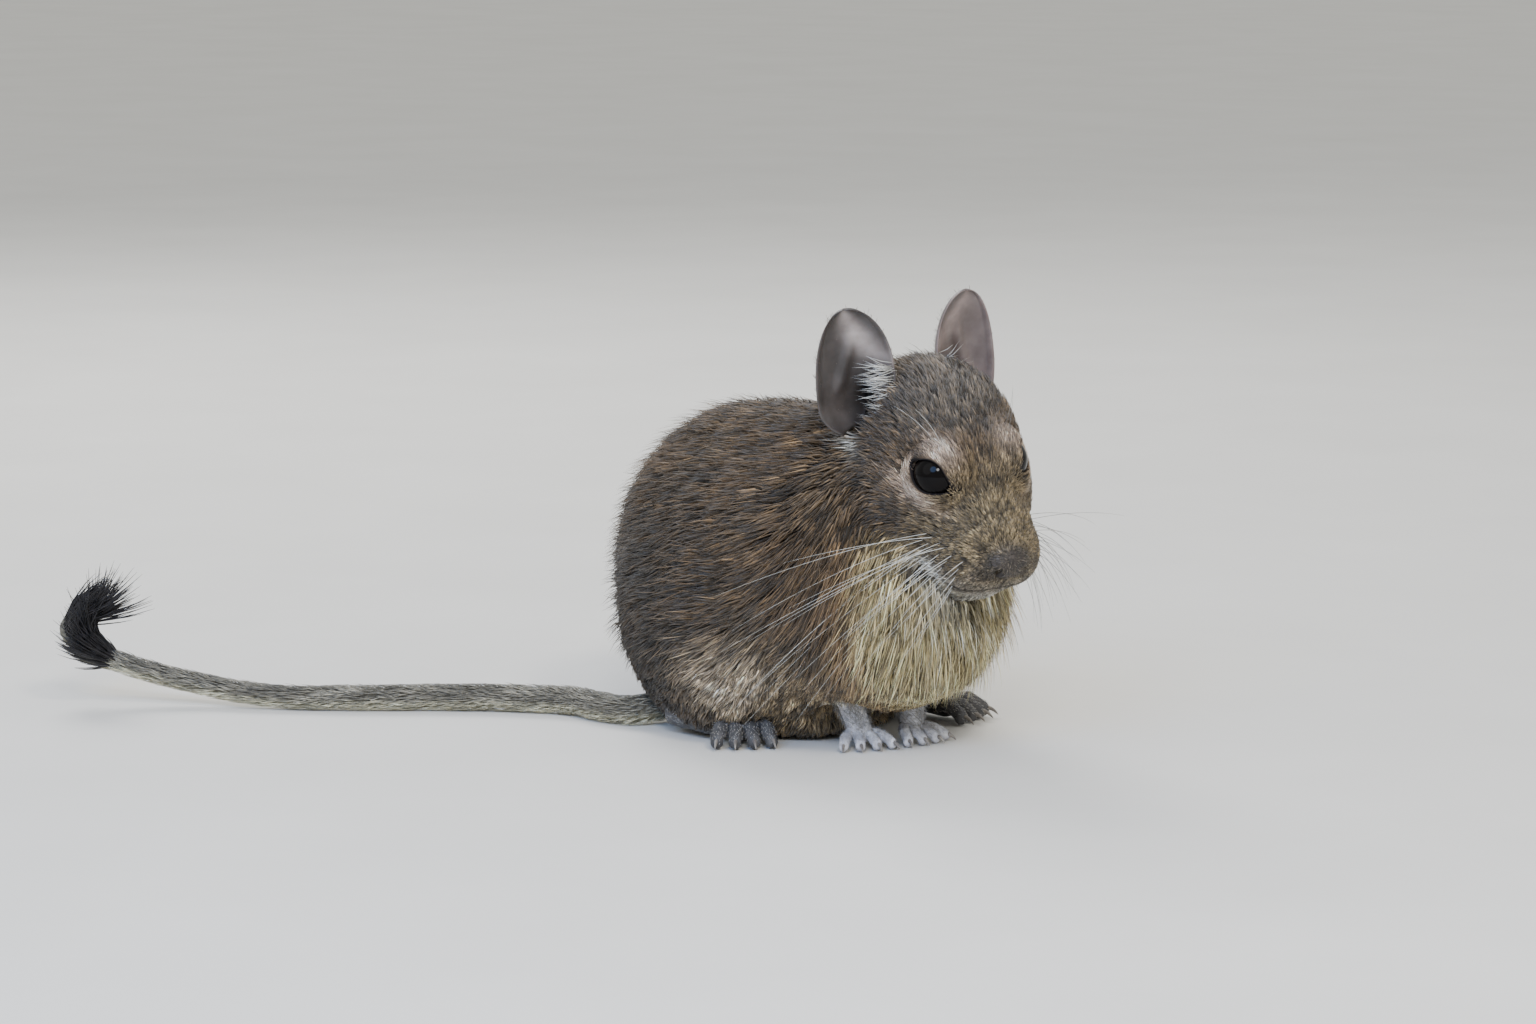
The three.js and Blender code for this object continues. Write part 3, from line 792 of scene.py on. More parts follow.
def make_skin(material):
    """The skin over the head, neck, torso and hind legs, as one closed surface."""
    body = cast(body_form, BODY_SEEN_FROM, (1, 0, 0), 120, 90)
    head = cast(head_form, HEAD_MIDDLE, head_way((1, 0, -0.12)), 120, 90)
    points, quads = remeshed("Skin.Rough", *joined([body, head]), SKIN_CELL)
    points = off_floor(sunk_sockets(settle(bare_form, points.astype(np.float32))), 0.05)
    piece = mesh_piece("Skin", points, quads, "coat", material)
    # The skin is painted at half the coat's colour, as painted shade deep in the coat, and nearly black
    # inside the ears' cups, as painted shade in their canals.
    cups = np.maximum.reduce([in_ear(points, side) for side in SIDES.values()])
    paint(piece, markings_and_shade(points) * (0.5 - 0.42 * cups)[:, None])
    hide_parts("head", "neck", "torso", "hind_leg_left", "hind_leg_right")
    return piece


# The coat: tufts of hair, each a thin closed blade with three sides, bent over along its lie.

# Half the size of a tuft's patch on the coat's flat map, its corners, and how many tufts grow.
PATCH = 0.0015
BLADE_CORNERS = 7
LARGEST_PIECE = 19000
BODY_TUFTS = 64000
HEAD_TUFTS = 41000
GUARD_HAIRS = 7400


def lie(points, normals):
    """The way the hair lies at points on the skin."""
    back = unit(points - on_head((31.5, 0, -2)), 1e-3)
    body = np.tile(np.float32([-1, 0, -0.38]), (len(points), 1))
    body += ramp(points[:, 0], 14, 40)[:, None] * np.float32([0.55, 0, -1.1])
    body += ramp(-points[:, 2], -30, -8)[:, None] * np.float32([0.25, 0, -0.55])
    body[:, 1] += 0.25 * np.sign(points[:, 1]) * ramp(points[:, 2], 40, 66)
    way = unit(body)
    way = way + (back - way) * head_share(points)[:, None]
    swirl = np.stack([cloud(points, 17, 21 + k, 2) for k in range(3)], 1)
    return laid(way + 0.30 * swirl + 0.16 * draw.normal(size=points.shape), normals)


def evenly(places):
    """The same weight at every place."""
    return np.ones(len(places), np.float32)


def scattered(points, triangles, count, weight=evenly):
    """Places spread over triangles by their area and weight."""
    a, b, c = (points[triangles[:, k]] for k in range(3))
    area = np.linalg.norm(np.cross(b - a, c - a), axis=1) / 2
    total = np.cumsum(area * weight((a + b + c) / 3))
    places = (np.arange(count) + draw.uniform(0, 1, count)) / count * total[-1]
    chosen = np.minimum(np.searchsorted(total, places), len(triangles) - 1)
    r, s = np.sqrt(draw.uniform(0, 1, count)), draw.uniform(0, 1, count)
    weights = np.stack([1 - r, r * (1 - s), r * s], 1)[:, :, None]
    return (points[triangles[chosen]] * weights).sum(1).astype(np.float32)


def rooted(piece, count, weight=evenly):
    """Places spread over a piece by area and weight."""
    return scattered(points_of(piece.data), triangles_of(piece.data), count, weight)


def strewn(ways, count, amount):
    """Ways for a count of hairs, each turned a little at random."""
    return ways + amount * draw.normal(size=(count, 3))


def facing(form, points, step=0.25):
    """The way a form's surface faces at points."""
    return unit(outward(form, points, step)[1])


def stalk(levels):
    """Triangles of a three-sided stalk with a number of levels under its tip."""
    faces = [(0, 2, 1)]
    for first in range(0, 3 * (levels - 1), 3):
        for k in range(3):
            here, after = first + k, first + (k + 1) % 3
            faces += [(here, after, after + 3), (here, after + 3, here + 3)]
    top = 3 * (levels - 1)
    return np.array(faces + [(top + k, top + (k + 1) % 3, top + 3) for k in range(3)])


def corners_round(middle, side, normals, widths, size, tall=1.0):
    """Three corners of a stalk round its middle, as wide as a share of its width."""
    wide = np.reshape(widths, (-1, 1)) * size
    return [middle - side * wide, middle + side * wide, middle + normals * wide * tall]


def strands(roots, normals, ways, lengths, width, lift, lay):
    """The ten points of each long hair: three at each of three levels, and its tip."""
    side = np.cross(ways, normals)
    lift, lay = sin(radians(lift)), sin(radians(lay))
    points = []
    for share, size in ((0, 0.45), (0.35, 0.5), (0.72, 0.36), (1, 0)):
        rise = lift * share - 0.5 * (lift - lay) * share ** 2
        middle = roots - normals * 0.3 + (ways * share + normals * rise) * lengths[:, None]
        points += corners_round(middle, side, normals, width, size) if size else [middle]
    return np.stack(points, 1)


def blades(roots, normals, ways, lengths, widths, lift, lay, pull=None):
    """The seven points of each tuft: three at its root, three at its bend and its tip."""
    def leaning(angle):
        """The way that leans up from the lie by an angle in degrees."""
        angle = np.radians(angle)[:, None] if np.ndim(angle) else radians(angle)
        return ways * np.cos(angle) + normals * np.sin(angle)

    half = lengths[:, None] / 2
    bend = roots + leaning(lift) * half
    tip = bend + leaning(lay) * half
    if pull is not None:
        tip = tip + pull
        bend = bend + 0.35 * pull
    side = np.cross(ways, normals)
    points = []
    for middle, size in ((roots - normals * 0.35, 0.5), (bend, 0.42)):
        points += corners_round(middle, side, normals, widths, size, 0.8)
    return np.stack([*points, tip], 1)


def unwrap(roots, head):
    """Places on a flat unwrap of the skin: the body on one half and the head on the other."""
    local = roots - (HEAD_MIDDLE if head else BODY_MIDDLE)
    pole, across = (2, 0) if head else (0, 2)
    rise = np.arccos(np.clip(local[:, pole] / np.linalg.norm(local, axis=1), -1, 1)) / pi
    turn = np.arctan2(local[:, 1], local[:, across]) / (2 * pi) + 0.5
    low, high = (0.68, 0.99) if head else (0.01, 0.66)
    return np.stack([low + (high - low) * rise, 0.01 + 0.98 * turn], 1)


def patch_corners(corners):
    """A tuft's corners laid flat within its patch, three for each level and one for its tip."""
    levels = corners // 3
    along = np.append(-1 + 2 * np.repeat(np.arange(levels), 3) / levels, 1)
    across = np.append(np.tile([-1, 1, 0], levels), 0)
    return np.stack([across, along], 1) * PATCH


def coat_piece(name, stalks, colours, places, slot, material):
    """Tufts as one mesh, painted from root to tip, with a patch of the unwrap for each."""
    count, corners = stalks.shape[:2]
    faces = (np.arange(count)[:, None, None] * corners + stalk(corners // 3)[None]).reshape(-1, 3)
    piece = mesh_piece(name, stalks.reshape(-1, 3), faces, slot, material)
    paint(piece, colours.reshape(-1, 3))
    lay_out(piece, (places[:, None] + patch_corners(corners)[None]).reshape(-1, 2), faces)


def finder(places):
    """A tree that finds the nearest of some places."""
    tree = kdtree.KDTree(len(places))
    for index, place in enumerate(places):
        tree.insert(place.tolist(), index)
    tree.balance()
    return tree


def gathered(roots, tips, spacing, strength):
    """A pull on each tip towards the middle of its lock, so that the coat parts into locks."""
    chosen = draw.choice(len(roots), max(int(len(roots) / spacing), 8), replace=False)
    tree = finder(roots[chosen])
    nearest = np.array([tree.find(place)[1] for place in roots.tolist()])
    return (tips[chosen][nearest] - tips) * strength, nearest


def agouti(base, roots, lock, dark_tips=0.3):
    """Colours along each tuft: dark at its root, then its band, then a dark or a pale tip."""
    count = len(roots)
    lock_shade = np.clip(draw.normal(0, 0.46, lock.max() + 1), -1.0, 0.65)[lock]
    streak = cloud(roots * np.float32([0.30, 1, 0.75]), 2.6, 33, 2) * 0.60
    own = np.exp(draw.normal(-0.18, 0.36, count) + lock_shade + streak + 0.34 * cloud(roots, 6, 31))
    light = base * own[:, None]
    dark_tip = draw.uniform(0, 1, count) < dark_tips
    colours = np.empty((count, BLADE_CORNERS, 3), np.float32)
    colours[:, :3] = (light * 0.24)[:, None]
    colours[:, 3:6] = (light * 0.95)[:, None]
    colours[:, 6] = np.where(dark_tip[:, None], light * 0.25, light * 1.7 + 0.008)
    return np.clip(colours, 0.002, 0.95)


def trimmed(roots, ways, lengths):
    """Lengths short enough for the tips to stay off the floor, and off the wrists in front."""
    floor = 0.6 + 10.4 * ramp(roots[:, 0], 17, 24) + draw.uniform(0, 1.5, len(roots))
    room = (roots[:, 2] - floor) / np.maximum(-ways[:, 2], 0.15)
    return np.minimum(lengths, np.maximum(room, 1.2))


def grows(points):
    """Where the coat grows: not on the lids, in the ears, on the nose or close to the floor."""
    clear = (near_eye(points) > LID_REACH - 0.5).astype(np.float32)
    for side in SIDES.values():
        clear *= ~in_ear(points, side)
    clear *= np.linalg.norm(to_head(points) - np.float32((31.5, 0, -3.6)), axis=1) > 2.9
    clear *= points[:, 2] > 1.2
    return clear


def body_weight(points):
    """How thick the coat of the body grows."""
    return (1 - head_share(points)) * grows(points) / hair_length(points) ** 0.6


def head_weight(points):
    """How thick the coat of the head grows."""
    return head_share(points) * grows(points) / hair_length(points) ** 1.1


def guard_weight(points):
    """How thick the guard hair grows, thickest in the ruff of the neck."""
    ruff = bell(points, (30, -8, 44), (14, 16, 10))
    return body_weight(points) * (1 + 2.0 * ruff) * ramp(points[:, 2], 10, 20)


def make_coat(skin, material):
    """The coat of the body and the head, in pieces."""
    kinds = (("Body", BODY_TUFTS, body_weight, False, 0.49, 14),
             ("Head", HEAD_TUFTS, head_weight, True, 0.34, 6))
    for label, count, weight, head, width, spacing in kinds:
        roots = rooted(skin, count, weight)
        normals = facing(coat_form, roots)
        ways = lie(roots, normals)
        lengths = trimmed(roots, ways, hair_length(roots) * draw.uniform(0.78, 1.18, count))
        lift = 42 + 12 * draw.uniform(-1, 1, count)
        tips = roots + (ways * 0.9 + normals * 0.4) * lengths[:, None]
        pull, lock = gathered(roots, tips, spacing, 0.45)
        widths = width * draw.uniform(0.7, 1.25, count) * np.clip(lengths / 4, 0.55, 1.0)
        tufts = off_floor(blades(roots, normals, ways, lengths, widths, lift, 9, pull))
        seen = roots + (ways * 0.45 + normals * DEPTH_SHARE) * lengths[:, None]
        colours = agouti(markings_and_shade(seen), roots, lock)
        places = unwrap(roots, head)
        order = np.argsort(places[:, 0], kind="stable")
        for number, part in enumerate(np.array_split(order, -(-count // LARGEST_PIECE)), 1):
            coat_piece(f"Coat.{label}.{number}", tufts[part], colours[part], places[part], "coat", material)
    guard_hair(skin, material)


def guard_hair(skin, material):
    """Longer, thinner hairs that stand out over the coat of the body and the ruff of the neck."""
    count = GUARD_HAIRS
    roots = rooted(skin, count, guard_weight)
    normals = facing(coat_form, roots)
    ways = lie(roots, normals)
    lengths = trimmed(roots, ways, hair_length(roots) * draw.uniform(1.2, 1.75, count))
    hairs = off_floor(strands(roots, normals, ways, lengths, 0.17, 38, 6))
    base = markings_and_shade(roots) * np.exp(draw.normal(0.35, 0.35, count))[:, None] + 0.01
    base[draw.uniform(0, 1, count) < 0.4] *= 0.3
    share = np.repeat([0.35, 0.8, 1.15, 1.3], (3, 3, 3, 1))[None, :, None]
    colours = np.clip(base[:, None] * share, 0.003, 0.95).astype(np.float32)
    coat_piece("Coat.Guard", hairs, colours, unwrap(roots, False), "coat", material)


# The eyes, their lids and the nose.

LID_REACH = 7.2
LID_HAIRS = 3400
NOSE_HAIRS = 1500
RIM_DARK = np.float32([0.012, 0.010, 0.011])
# The lids' rings: how far out of the rim, and how deep under the face's surface.
LID_OUTS = np.array([0, 0.05, 0.14, 0.28, 0.46, 0.7, 1.0, 1.35, 1.75, 2.2, 2.7, 3.2, 3.6])
LID_DIPS = np.array([1.1, 0.42, 0.14, 0.02, 0, 0, 0, 0, 0, 0, 0, 0.1, 0.6])
LID_CREST = 3


def lid_sheet(side, around=120):
    """The lids of an eye, ring by ring from the opening's rim out to where they meet the face."""
    centre, faces, front, up = eye_frame(side)
    turn = np.linspace(0, 2 * pi, around, endpoint=False)
    wide = 3.75 * np.cos(turn) + 1.15 * np.cos(turn) ** 7
    high = 3.0 * np.sin(turn) + 0.2 * np.sin(turn) ** 2
    rim = np.hypot(wide, high)[None]
    reach = rim + (np.maximum(LID_REACH, rim + 0.5) - rim) * (LID_OUTS / LID_OUTS[-1])[:, None]
    angle = np.arctan2(high, wide)[None]
    flat = (reach * np.cos(angle))[..., None] * front + (reach * np.sin(angle))[..., None] * up

    def form(points):
        """The face, drawn over the ball of the eye."""
        over_ball = np.linalg.norm(points - centre, axis=1) - EYE_RADIUS - 0.34
        return blend(bare_form(points), over_ball, 1.8)

    base = (centre + flat).reshape(-1, 3).astype(np.float32)
    height = np.full(len(base), 8.0, np.float32)
    for _ in range(24):
        height -= 0.8 * np.clip(form(base + height[:, None] * np.float32(faces)), -1.5, 1.5)
    height = np.maximum(height, -1).reshape(reach.shape) - LID_DIPS[:, None]
    return base.reshape(*reach.shape, 3) + height[..., None] * faces, reach - rim


def lid_hair(name, side, sheet, quads, material):
    """Short pale hair on the lids, from just outside the rim."""
    centre = eye_frame(side)[0]
    rim = finder(sheet[LID_CREST])
    roots = scattered(sheet.reshape(-1, 3).astype(np.float32), halved(quads), LID_HAIRS)
    away = np.array([rim.find(place)[2] for place in roots.tolist()])
    grown = (away > 0.32) & (np.linalg.norm(roots - centre, axis=1) > EYE_RADIUS + 0.2)
    roots, away = roots[grown], away[grown]
    normals = unit(outward(bare_form, roots)[1] + (roots - centre) * 0.2)
    ways = lie(roots, normals)
    lengths = (1.0 + 0.42 * away) * draw.uniform(0.75, 1.2, len(roots))
    tufts = blades(roots, normals, ways, lengths, 0.17, 26, 6)
    lock = draw.integers(0, len(roots) // 8, len(roots))
    colours = agouti(markings_and_shade(roots), roots, lock, 0.12)
    coat_piece(f"Lid.Hair.{name}", tufts, colours, unwrap(roots, True), "coat", material)


def make_eyes(eye_material, lid_material, fur):
    """The balls of the eyes, their dark-rimmed lids and the hair on them."""
    for name, side in SIDES.items():
        centre, faces, front, _ = eye_frame(side)
        points, quads = ball(64, 48)
        turn = np.stack([front, np.cross(faces, front), faces], 1)
        eye = mesh_piece(f"Eye.{name}", centre + (points * EYE_RADIUS) @ turn.T, quads, "eye", eye_material)
        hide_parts(f"eye_{name}")
        sheet, gap = lid_sheet(side)
        points = sheet.reshape(-1, 3)
        quads = sheet_faces(*gap.shape, closed=True)
        a, b, c = points[quads[0, :3]]
        outwards = quads if np.cross(b - a, c - a) @ faces >= 0 else quads[:, ::-1]
        lids = mesh_piece(f"Lids.{name}", points, outwards, "coat", lid_material)
        around = np.cos(np.linspace(0, 2 * pi, gap.shape[1], endpoint=False))
        corner = 1.5 * np.maximum(around, 0) ** 14 + 0.8 * np.maximum(-around, 0) ** 14
        dark = 1 - ramp((gap - corner).ravel(), 0.30, 0.62)
        paint(lids, mix_in(markings_and_shade(points.astype(np.float32)) * 0.6, RIM_DARK, dark))
        lid_hair(name, side, sheet, quads, fur)


def nose_form(points):
    """The bare nose: two wings with a pit in each, a slit beside it and a groove between them."""
    local = to_head(points)
    folded = mirrored(local)
    form = egg(local, (30.2, 0, -3.5), (3.6, 4.0, 3.2))
    form = blend(form, egg(folded, (31.2, 2.2, -3.6), (2.4, 2.0, 2.2)), 1.2)
    form = np.maximum(form, -taper(folded, (30.5, 1.7, -3.9), (36, 3.2, -3.5), 0.75, 1.1))
    form = np.maximum(form, -taper(folded, (31.5, 3.2, -3.3), (30.5, 5.6, -2.6), 0.55, 0.5))
    return np.maximum(form, 0.32 - np.abs(local[:, 1]) - 3.0 * ramp(local[:, 2], -5.2, -4.2))


def make_nose(material, fur):
    """The nose, with painted shade in its pits, and short hair over its upper part."""
    points, quads = cast(nose_form, on_head((29.2, 0, -3.5)), head_way((1, 0, 0)), 160, 120, 12)
    piece = mesh_piece("Nose", points, quads, "ear_skin", material)
    # Painted shade in each nostril's pit.
    shade = 1 - 0.75 * bell(mirrored(to_head(points)), (32.4, 2.3, -3.8), 1.15)
    paint(piece, np.tile([0.9, 0.86, 0.83], (len(points), 1)) * shade[:, None])
    roots = scattered(points, triangles_of(piece.data), NOSE_HAIRS)
    local = mirrored(to_head(roots))
    roots = roots[np.linalg.norm(local - np.float32([32.0, 2.2, -4.2]), axis=1) > 1.9]
    normals = facing(nose_form, roots, 0.1)
    count = len(roots)
    tufts = blades(roots, normals, lie(roots, normals), draw.uniform(0.7, 1.25, count), 0.16, 30, 8)
    colours = agouti(np.tile(NOSE_BROWN, (count, 1)), roots, draw.integers(0, 200, count), 0.2)
    coat_piece("Nose.Hair", tufts, colours, unwrap(roots, True), "coat", fur)


# The ears: thin cups, folded at their front edge, with a fine rim.

EAR_HEIGHT = 26.4
EAR_WIDTH = 15.6
EAR_THICK = 0.45
EAR_ROOT = {1: (-11.6, 11.0, -4.4), -1: (-7.6, 13.7, -0.1)}
EAR_RISES = {1: (-0.48, 0.06, 0.85), -1: (-0.48, 0.13, 0.85)}
EAR_FACES = {1: (0.82, 0.16, 0.45), -1: (0.8, 0.36, 0.45)}
# The left ear is painted warm and even, as painted light through it. The right one is painted darker, as
# painted shade, with a painted sheen in a bright band and a fuller fringe.
EAR_TINT = {1: (1.0, 0.90, 0.89), -1: (1.0, 0.98, 0.97)}
EAR_PAINTED_LIGHT = {1: 1.15, -1: 0.44}
EAR_SHEEN_BAND = {1: 0.8, -1: 3.6}
EAR_FRINGE = {1: 40, -1: 110}
EAR_DOWN = 1500
FRINGE_WHITE = tone(0.90, 0.90, 0.88)
DOWN_BROWN = tone(0.46, 0.42, 0.38)


def ear_frame(side):
    """An ear's root, and the ways it rises, faces and spreads towards its front edge."""
    rise = head_way(EAR_RISES[side], side)
    faces = head_way(EAR_FACES[side], side)
    faces = unit(faces - rise * (faces @ rise))
    return on_head(EAR_ROOT[side], side), rise, faces, np.cross(faces, rise) * side


def in_ear(points, side):
    """Which points lie inside an ear's cup, where no coat grows."""
    root, rise, faces, across = ear_frame(side)
    local = points - root
    high, wide, deep = local @ rise, local @ across, local @ faces
    return ((wide / 7.2) ** 2 + ((high - 10.5) / 11.5) ** 2 < 1) & (deep > -8) & (deep < 4.5)


def ear_half(height, widest, above, below):
    """An ear's half width at a share of its height, fullest at one level."""
    over = np.clip((height - widest) / above, 0, 1)
    under = np.clip((widest - height) / below, 0, 1)
    return np.sqrt(np.maximum(1 - over ** 2 - under ** 2, 0))


def ear_sheet(side, rows=56, columns=44):
    """The middle surface of an ear from its root up, how it faces, and shares of height and width."""
    root, rise, faces, across = ear_frame(side)
    run = np.linspace(0, 1, rows)[:, None]
    over = np.linspace(-1, 1, columns)[None, :]
    high = np.sin(pi / 2 * run) ** 1.1
    back, front = 1.08 * ear_half(high, 0.24, 0.76, 0.28), ear_half(high, 0.55, 0.45, 0.80)
    half = np.where(over < 0, back, front) * EAR_WIDTH / 2
    cup = 6.0 * (1 - high) ** 0.8 * (1 - over ** 2) - 1.2 * high ** 3
    canal = 2.2 * np.exp(-((over - 0.42) / 0.36) ** 2 - ((high - 0.22) / 0.14) ** 2)
    fold = 3.2 * np.maximum(0, over) ** 3 * (1 - high)
    ridge = 0.8 * np.exp(-((over + 0.35 - 1.2 * (high - 0.4)) / 0.16) ** 2)
    ridge = ridge * ramp(high, 0.22, 0.42) * ramp(-high, -0.85, -0.6)
    rim = 0.6 * ramp(np.abs(over), 0.86, 1.0) * ramp(run, 0.05, 0.3)
    depth = -cup - canal + fold + ridge + rim
    points = root + (EAR_HEIGHT * high * np.ones_like(over))[..., None] * rise
    points = points + (over * half)[..., None] * across + depth[..., None] * faces
    return points, faces, np.broadcast_to(high, depth.shape), np.broadcast_to(over, depth.shape)


def ear_colours(side, flat, high, over):
    """An ear's painted light and shade: a painted sheen in a bright band, a painted lit rim and root, and
    painted shade in the dark hole.
    """
    # The band, the rim and the root are painted highlights, and the hole is painted shade in the ear's
    # canal.
    band = np.exp(-((over - 0.30 + 2.0 * (high - 0.75)) / 0.42) ** 2) * ramp(high, 0.42, 0.62)
    rim = ramp(np.abs(over), 0.90, 1.0) * ramp(high, 0.1, 0.3)
    root = np.exp(-((over + 0.55) / 0.3) ** 2 - ((high - 0.2) / 0.16) ** 2)
    hole = np.exp(-((over - 0.45) / 0.40) ** 2 - ((high - 0.22) / 0.17) ** 2)
    sheen = 0.75 + EAR_SHEEN_BAND[side] * band + 0.35 * rim + 0.8 * root
    sheen = EAR_PAINTED_LIGHT[side] * sheen * (1 - 0.96 * np.clip(1.35 * hole, 0, 1))
    colour = sheen.reshape(-1, 1) * np.float32(EAR_TINT[side])
    return colour * (1 + 0.16 * cloud(flat, 5, 41)[:, None])


def make_ears(material, fur):
    """Both ears: each a sheet with two faces and an edge round it."""
    for name, side in SIDES.items():
        sheet, faces, high, over = ear_sheet(side)
        rows, columns = sheet.shape[:2]
        flat = sheet.reshape(-1, 3)
        along = np.gradient(sheet, axis=0).reshape(-1, 3)
        across = np.gradient(sheet, axis=1).reshape(-1, 3)
        normals = unit(np.cross(across, along), 1e-6)
        normals *= np.sign(normals @ faces)[:, None]
        thick = (EAR_THICK * (1 - 0.45 * high)).reshape(-1, 1)
        thick = thick * np.clip(1.25 - np.abs(over.reshape(-1, 1)) ** 6, 0.3, 1)
        points = np.concatenate([flat + normals * thick, flat - normals * thick])
        count = rows * columns
        front = sheet_faces(rows, columns)
        edge = np.concatenate([np.arange(columns), np.arange(2 * columns - 1, count, columns),
                               np.arange(count - 2, count - columns - 1, -1),
                               np.arange(count - 2 * columns, 0, -columns)])
        after = np.roll(edge, -1)
        band = np.stack([edge, after, after + count, edge + count], 1)
        quads = np.concatenate([front, front[:, ::-1] + count, band])
        a, b, c = points[front[0, :3]]
        quads = quads if np.cross(b - a, c - a) @ faces > 0 else quads[:, ::-1]
        ear = mesh_piece(f"Ear.{name}", points, quads, "ear_skin", material)
        colour = ear_colours(side, flat, high, over)
        paint(ear, np.concatenate([colour, colour * 0.8]))
        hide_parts(f"ear_{name}")
        ear_hair(name, side, flat, normals, high.ravel(), over.ravel(), fur)


def ear_hair(name, side, flat, normals, high, over, material):
    """White hairs that stand across the opening from the ear's front edge, and down on its back."""
    _, rise, faces, across = ear_frame(side)
    strong = EAR_FRINGE[side]
    chosen = draw.choice(np.nonzero((over > 0.80) & (high > 0.05) & (high < 0.52))[0], strong)
    roots = flat[chosen] + draw.normal(0, 0.3, (strong, 3))
    ways = unit(strewn(-0.9 * across + 0.35 * faces + 0.35 * rise, strong, 0.22))
    lengths = draw.uniform(3.5, 8.5, strong)
    fringe = blades(roots, np.tile(faces, (strong, 1)), ways, lengths, 0.13, 14, -10)
    open_part = (np.abs(over) < 0.97) * (1 - high) ** 1.3
    some = draw.choice(len(flat), EAR_DOWN, p=open_part / open_part.sum())
    backs = flat[some] - normals[some] * 0.35 + draw.normal(0, 0.2, (EAR_DOWN, 3))
    ways = unit(strewn(rise, EAR_DOWN, 0.3))
    down = blades(backs, -normals[some], ways, draw.uniform(0.7, 1.5, EAR_DOWN), 0.10, 22, 6)
    colours = np.concatenate([np.tile(FRINGE_WHITE, (strong, BLADE_CORNERS, 1)),
                              np.tile(DOWN_BROWN, (EAR_DOWN, BLADE_CORNERS, 1))])
    where = np.r_[chosen, some]
    places = 0.5 + np.stack([high[where], over[where]], 1) * 0.1
    tufts = np.concatenate([fringe, down])
    coat_piece(f"Ear.Hair.{name}", tufts, colours, places, "ear_skin", material)


# Feet: toes with joints, each with its claw. Splay is in degrees, and arch in toe radii.

TOES = 4
# The fore feet are painted far paler than the hind ones: partly their own paler skin, partly painted light
# that makes up for the chest's shade on them.
HIND_FOOT = {"splay": 7, "length": 8.5, "radius": 1.62, "arch": 2.45, "thick": (3.4, 3.1), "pale": 0.45}
FORE_FOOT = {"splay": 14, "length": 6.5, "radius": 1.25, "arch": 2.1, "thick": (2.6, 2.4), "pale": 4.1}
FOOT_CELL = 0.24
FOOT_HAIRS = 1500
FOOT_GREY = tone(0.68, 0.67, 0.66)
LEG_RADII = (5.6, 2.35)
LEG_HAIRS = 2600
LEG_HAIR_HANGS = np.array([0.05, 0, -1.0])


def flat_way(heading):
    """The level way that a heading in degrees points."""
    return np.array([cos(radians(heading)), sin(radians(heading)), 0])


def toe_paths(ball_at, heading, splay, length, radius, arch):
    """The joints of each toe, from the ball of the foot to its tip, and the way it points."""
    across = flat_way(heading + 90)
    toes = []
    for index in range(TOES):
        place = index - (TOES - 1) / 2
        way = flat_way(heading + splay * place)
        reach = length * (1 - 0.07 * abs(place))
        root, knuckle, tip = (
            np.array(ball_at, float) + across * place * radius * apart + way * reach * share
            for apart, share in ((1.15, 0), (1.68, 0.42), (1.84, 0.93)))
        knuckle[2] = radius * arch
        tip[2] = radius * 0.95
        toes.append((root, knuckle, tip, way))
    return toes


def foot_form(start, ball_at, toes, thick, radius):
    """The form of a foot from its ankle or wrist to its toes, flat under its soles."""
    def form(points):
        """The foot's distance at points."""
        whole = taper(points, start, ball_at, *thick)
        for root, knuckle, tip, way in toes:
            bent = knuckle * 0.25 + tip * 0.75
            bent[2] = radius * 1.35
            toe = string_of_tapers(points, [root, knuckle, bent, tip - way * radius * 0.5],
                                   [radius * 0.92, radius * 0.90, radius * 0.82, radius * 0.80])
            whole = blend(whole, toe, 0.15)
        return np.maximum(whole, 0.05 - points[:, 2])
    return form


def foot_claws(name, toes, radius, material):
    """A curved claw at the end of each toe."""
    reach = np.linspace(0, 1, 7)
    claws = []
    for _, _, tip, way in toes:
        path = [tip + way * radius * (0.1 + 1.45 * k) + np.array([0, 0, radius * (0.30 - 0.85 * k * k)])
                for k in reach]
        claws.append(tube(path, 0.36 * (1 - reach) ** 0.6 + 0.04, 10, 1.25))
    made = mesh_piece(f"{name}.Claws", *joined(claws), "foot_skin", material)
    paint(made, np.ones((len(made.data.vertices), 3)))


def foot_hair(name, foot, form, heading, material):
    """Fine pale hair over a foot, longest at the ankle and sparse on the toes."""
    count = FOOT_HAIRS
    roots = rooted(foot, count, lambda places: ramp(places[:, 2], 1.2, 3.4) + 0.05)
    normals = facing(form, roots, 0.1)
    ways = laid(strewn(flat_way(heading) - np.array([0, 0, 0.35]), count, 0.22), normals)
    lengths = (0.9 + 1.5 * ramp(roots[:, 2], 3, 9)) * draw.uniform(0.7, 1.25, count)
    tufts = off_floor(blades(roots, normals, ways, lengths, 0.13, 20, 4))
    colours = np.tile(FOOT_GREY, (count, BLADE_CORNERS, 1)) * draw.uniform(0.75, 1.2, (count, 1, 1))
    places = 0.02 + 0.3 * (roots[:, :2] + np.float32([25, 40])) / np.float32([60, 80])
    coat_piece(f"{name}.Hair", tufts, colours, places, "foot_skin", material)


